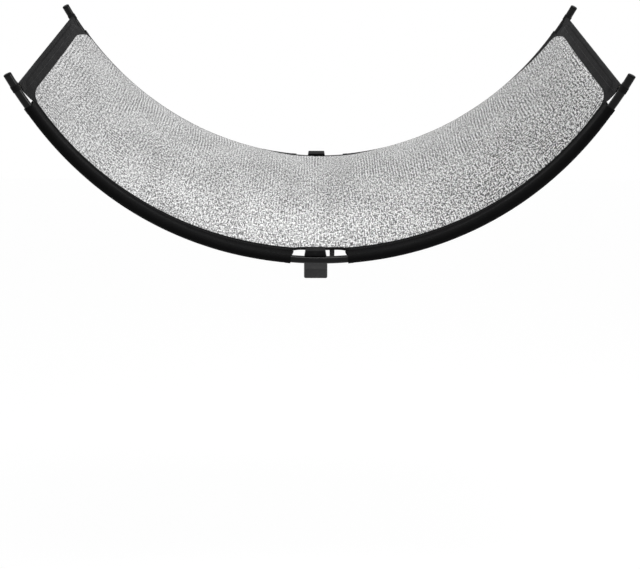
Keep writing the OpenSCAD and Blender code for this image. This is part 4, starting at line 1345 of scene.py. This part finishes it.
def make_screws():
    """The clip, bar and tongue screws, each set with the node that it stands for."""
    lean_cos, lean_sin = math.cos(RAIL_LEAN), math.sin(RAIL_LEAN)
    seat = CLIP_DEPTH / lean_cos + SCREW_HEAD[0] * math.tan(RAIL_LEAN)
    clip_seats = [(x, seat * lean_cos, -seat * lean_sin) for x in (-CLIP_SCREW_SIDE, CLIP_SCREW_SIDE)]
    clip_axis = [(x, y + lean_cos, z - lean_sin) for x, y, z in clip_seats]
    tongue_seats = [
        (x, PIVOT_BACK + y, BAR_BOTTOM - FLANGE_T)
        for x in (-TONGUE_SCREW_SIDE, TONGUE_SCREW_SIDE)
        for y in (-TONGUE_SCREW_REACH, TONGUE_SCREW_REACH)
    ]
    bar_seat = [(0.0, CLIP_DEPTH + CLIP_PLUG / 2, BAR_BOTTOM)]
    down = under_panel([(0, 0, -1)])[0] - under_panel([(0, 0, 0)])[0]
    made = {}
    for line, at_rear, seed in (("front", False, 3), ("rear", True, 5)):
        seats = under_panel(clip_seats, at_rear)
        axis = (under_panel(clip_axis, at_rear) - seats)[0]
        made[line + "_clip_screws"] = placed_screws(
            line + "_clip_button_screws", (SCREW_R, CLIP_SCREW_LENGTH), SCREW_HEAD, SCREW_KEY,
            seats, axis, seed)
    bar_seats = np.concatenate([under_panel(bar_seat), under_panel(bar_seat, True)])
    made["bar_screws"] = placed_screws(
        "bar_button_screws", (BAR_SCREW_R, BAR_SCREW_LENGTH), BAR_SCREW_HEAD, BAR_SCREW_KEY,
        bar_seats, down, seed=7)
    made["tongue_screws"] = placed_screws(
        "tongue_button_screws", (SCREW_R, TONGUE_SCREW_LENGTH), SCREW_HEAD, SCREW_KEY,
        under_panel(tongue_seats), down, seed=9)
    return made


def paint_lower_jaw(clip, at_rear):
    """Gives a clip the stand block's paint below the middle of its tube."""
    middle, above = (Vector(point) for point in under_panel([(0, 0, 0), (0, 0, 1)], at_rear))
    up = above - middle
    clip.data.materials.append(BLOCK_PAINT)
    work = bmesh.new()
    work.from_mesh(clip.data)
    every = [*work.verts, *work.edges, *work.faces]
    bmesh.ops.bisect_plane(work, geom=every, plane_co=middle, plane_no=up)
    for face in work.faces:
        if (face.calc_center_median() - middle).dot(up) < 0:
            face.material_index = 1
    work.to_mesh(clip.data)
    work.free()


def make_eased():
    """Castings, mouldings, the bar and the bolt, with eased edges."""
    sets = (
        (("front_clip", "rear_clip"), 1.2 * MM, CLIP_PLASTIC),
        ([rail + "_cap" for rail in SLEEVES], 0.8 * MM, CLIP_PLASTIC),
        (("stand_block", "tilt_tongue"), 1.0 * MM, BLOCK_PAINT),
        (("tilt_knob", "stand_lock_knob"), 1.0 * MM, KNOB_PLASTIC),
        (("cross_bar",), 0.9 * MM, BAR_PAINT),
        (("pivot_bolt",), 0.4 * MM, STEEL),
    )
    made = {name: eased(name, width, material) for names, width, material in sets for name in names}
    paint_lower_jaw(made["front_clip"], at_rear=False)
    paint_lower_jaw(made["rear_clip"], at_rear=True)
    return made


def body_of(node):
    """The moving body that a CAD node belongs to."""
    bodies = frame["record"]["behaviour"]["bodies"]
    return next(body for body, names in bodies.items() if node in names)


def plain_area(angle_span, low, high):
    """Area of the cloth between two edges, in square metres, measured on its shape."""
    columns, rows = 200, 60
    angle = np.linspace(-angle_span, angle_span, columns)[:, None]
    share = low(angle) + (high(angle) - low(angle)) * np.linspace(0, 1, rows)[None, :]
    grid = cloth_point(angle, share, 0.0)
    along = np.diff(grid, axis=0)[:, :-1]
    across = np.diff(grid, axis=1)[:-1]
    return float(np.linalg.norm(np.cross(along, across), axis=-1).sum())


def white_for_sight(wiring, lit, end, strength, keep):
    """Shows white to the camera and to reflections, and keeps a share of the lit shader's own shade."""
    path = wiring.add("ShaderNodeLightPath").outputs
    seen = wiring.number("MAXIMUM", path["Is Camera Ray"], path["Is Glossy Ray"])
    seen = wiring.number("MAXIMUM", seen, path["Is Transmission Ray"])
    glow = wiring.add("ShaderNodeEmission", {"Strength": strength}).outputs[0]
    shown = wiring.add("ShaderNodeMixShader", {0: wiring.times(seen, 1 - keep), 1: lit.outputs[0], 2: glow})
    wiring.give(wiring.tree.nodes[end].inputs["Surface"], shown.outputs[0])


def make_floor():
    """A plain pale floor."""
    half = FLOOR_SIZE / 2
    corners = [(-half, -half), (half, -half), (half, half), (-half, half)]
    mesh = bpy.data.meshes.new("floor")
    mesh.from_pydata([(x, y, FLOOR_HEIGHT) for x, y in corners], [], [(0, 1, 2, 3)])
    finish = Finish("pale_floor", Base_Color=colour(0.86, 0.86, 0.86), Roughness=0.9)
    white_for_sight(finish, finish.main, "Material Output", strength=FLOOR_GLOW, keep=FLOOR_SHADE)
    mesh.materials.append(finish.material)
    linked("floor", mesh)


def make_world():
    """Even light from all round, which shows as white."""
    world = bpy.data.worlds.new("studio")
    bpy.context.scene.world = world
    world.use_nodes = True
    lit = world.node_tree.nodes["Background"]
    lit.inputs["Color"].default_value = colour(1, 1, 1)
    lit.inputs["Strength"].default_value = WORLD_LIGHT
    white_for_sight(Wiring(world.node_tree), lit, "World Output", strength=1.0, keep=0.0)


def make_lamp(name, place, aim, width, depth, watts):
    """A soft studio panel."""
    data = bpy.data.lights.new(name, "AREA")
    data.shape = "RECTANGLE"
    data.size, data.size_y = width, depth
    data.energy = watts
    away = Vector(place) - Vector(aim)
    turn = away.to_track_quat("Z", "Y").to_matrix().to_4x4()
    linked(name, data).matrix_world = Matrix.Translation(place) @ turn


make_camera()
make_world()
make_floor()
for name, lamp in LAMPS.items():
    make_lamp(name, **lamp)

bpy.context.scene.view_settings.view_transform = "Standard"

base = make_base()
silver = make_silver()
sleeves = {name: make_sleeve(name) for name in SLEEVES}
loops = make_corner_loops()
hems = {name: make_end_hem(name, side) for name, side in (("left_end_hem", -1), ("right_end_hem", 1))}
bindings = make_notch_bindings()
seam_stitches = make_seam_stitches()
silver_stitches = make_silver_stitches()
screws = make_screws()
hardware = make_eased()
paint_hardware()

sewn_on = [loops, bindings, seam_stitches, *sleeves.values(), *hems.values()]
for piece in [base, *sewn_on]:
    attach(piece, "panel")
for piece in [silver, silver_stitches]:
    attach(piece, "panel")
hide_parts("base_cloth")
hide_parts("silver_cloth")
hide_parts("corner_loops")
for name, piece in sleeves.items():
    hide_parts(name + "_sleeve")
for name, piece in hems.items():
    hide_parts(name)
for name, piece in {**screws, **hardware}.items():
    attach(piece, body_of(name))
    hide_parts(name)

base_area = plain_area(CLOTH_END_ANGLE, edge_inset, lambda angle: 1 - edge_inset(angle))
silver_area = plain_area(
    SILVER_END_ANGLE, lambda angle: silver_edges(angle)[0], lambda angle: silver_edges(angle)[1])
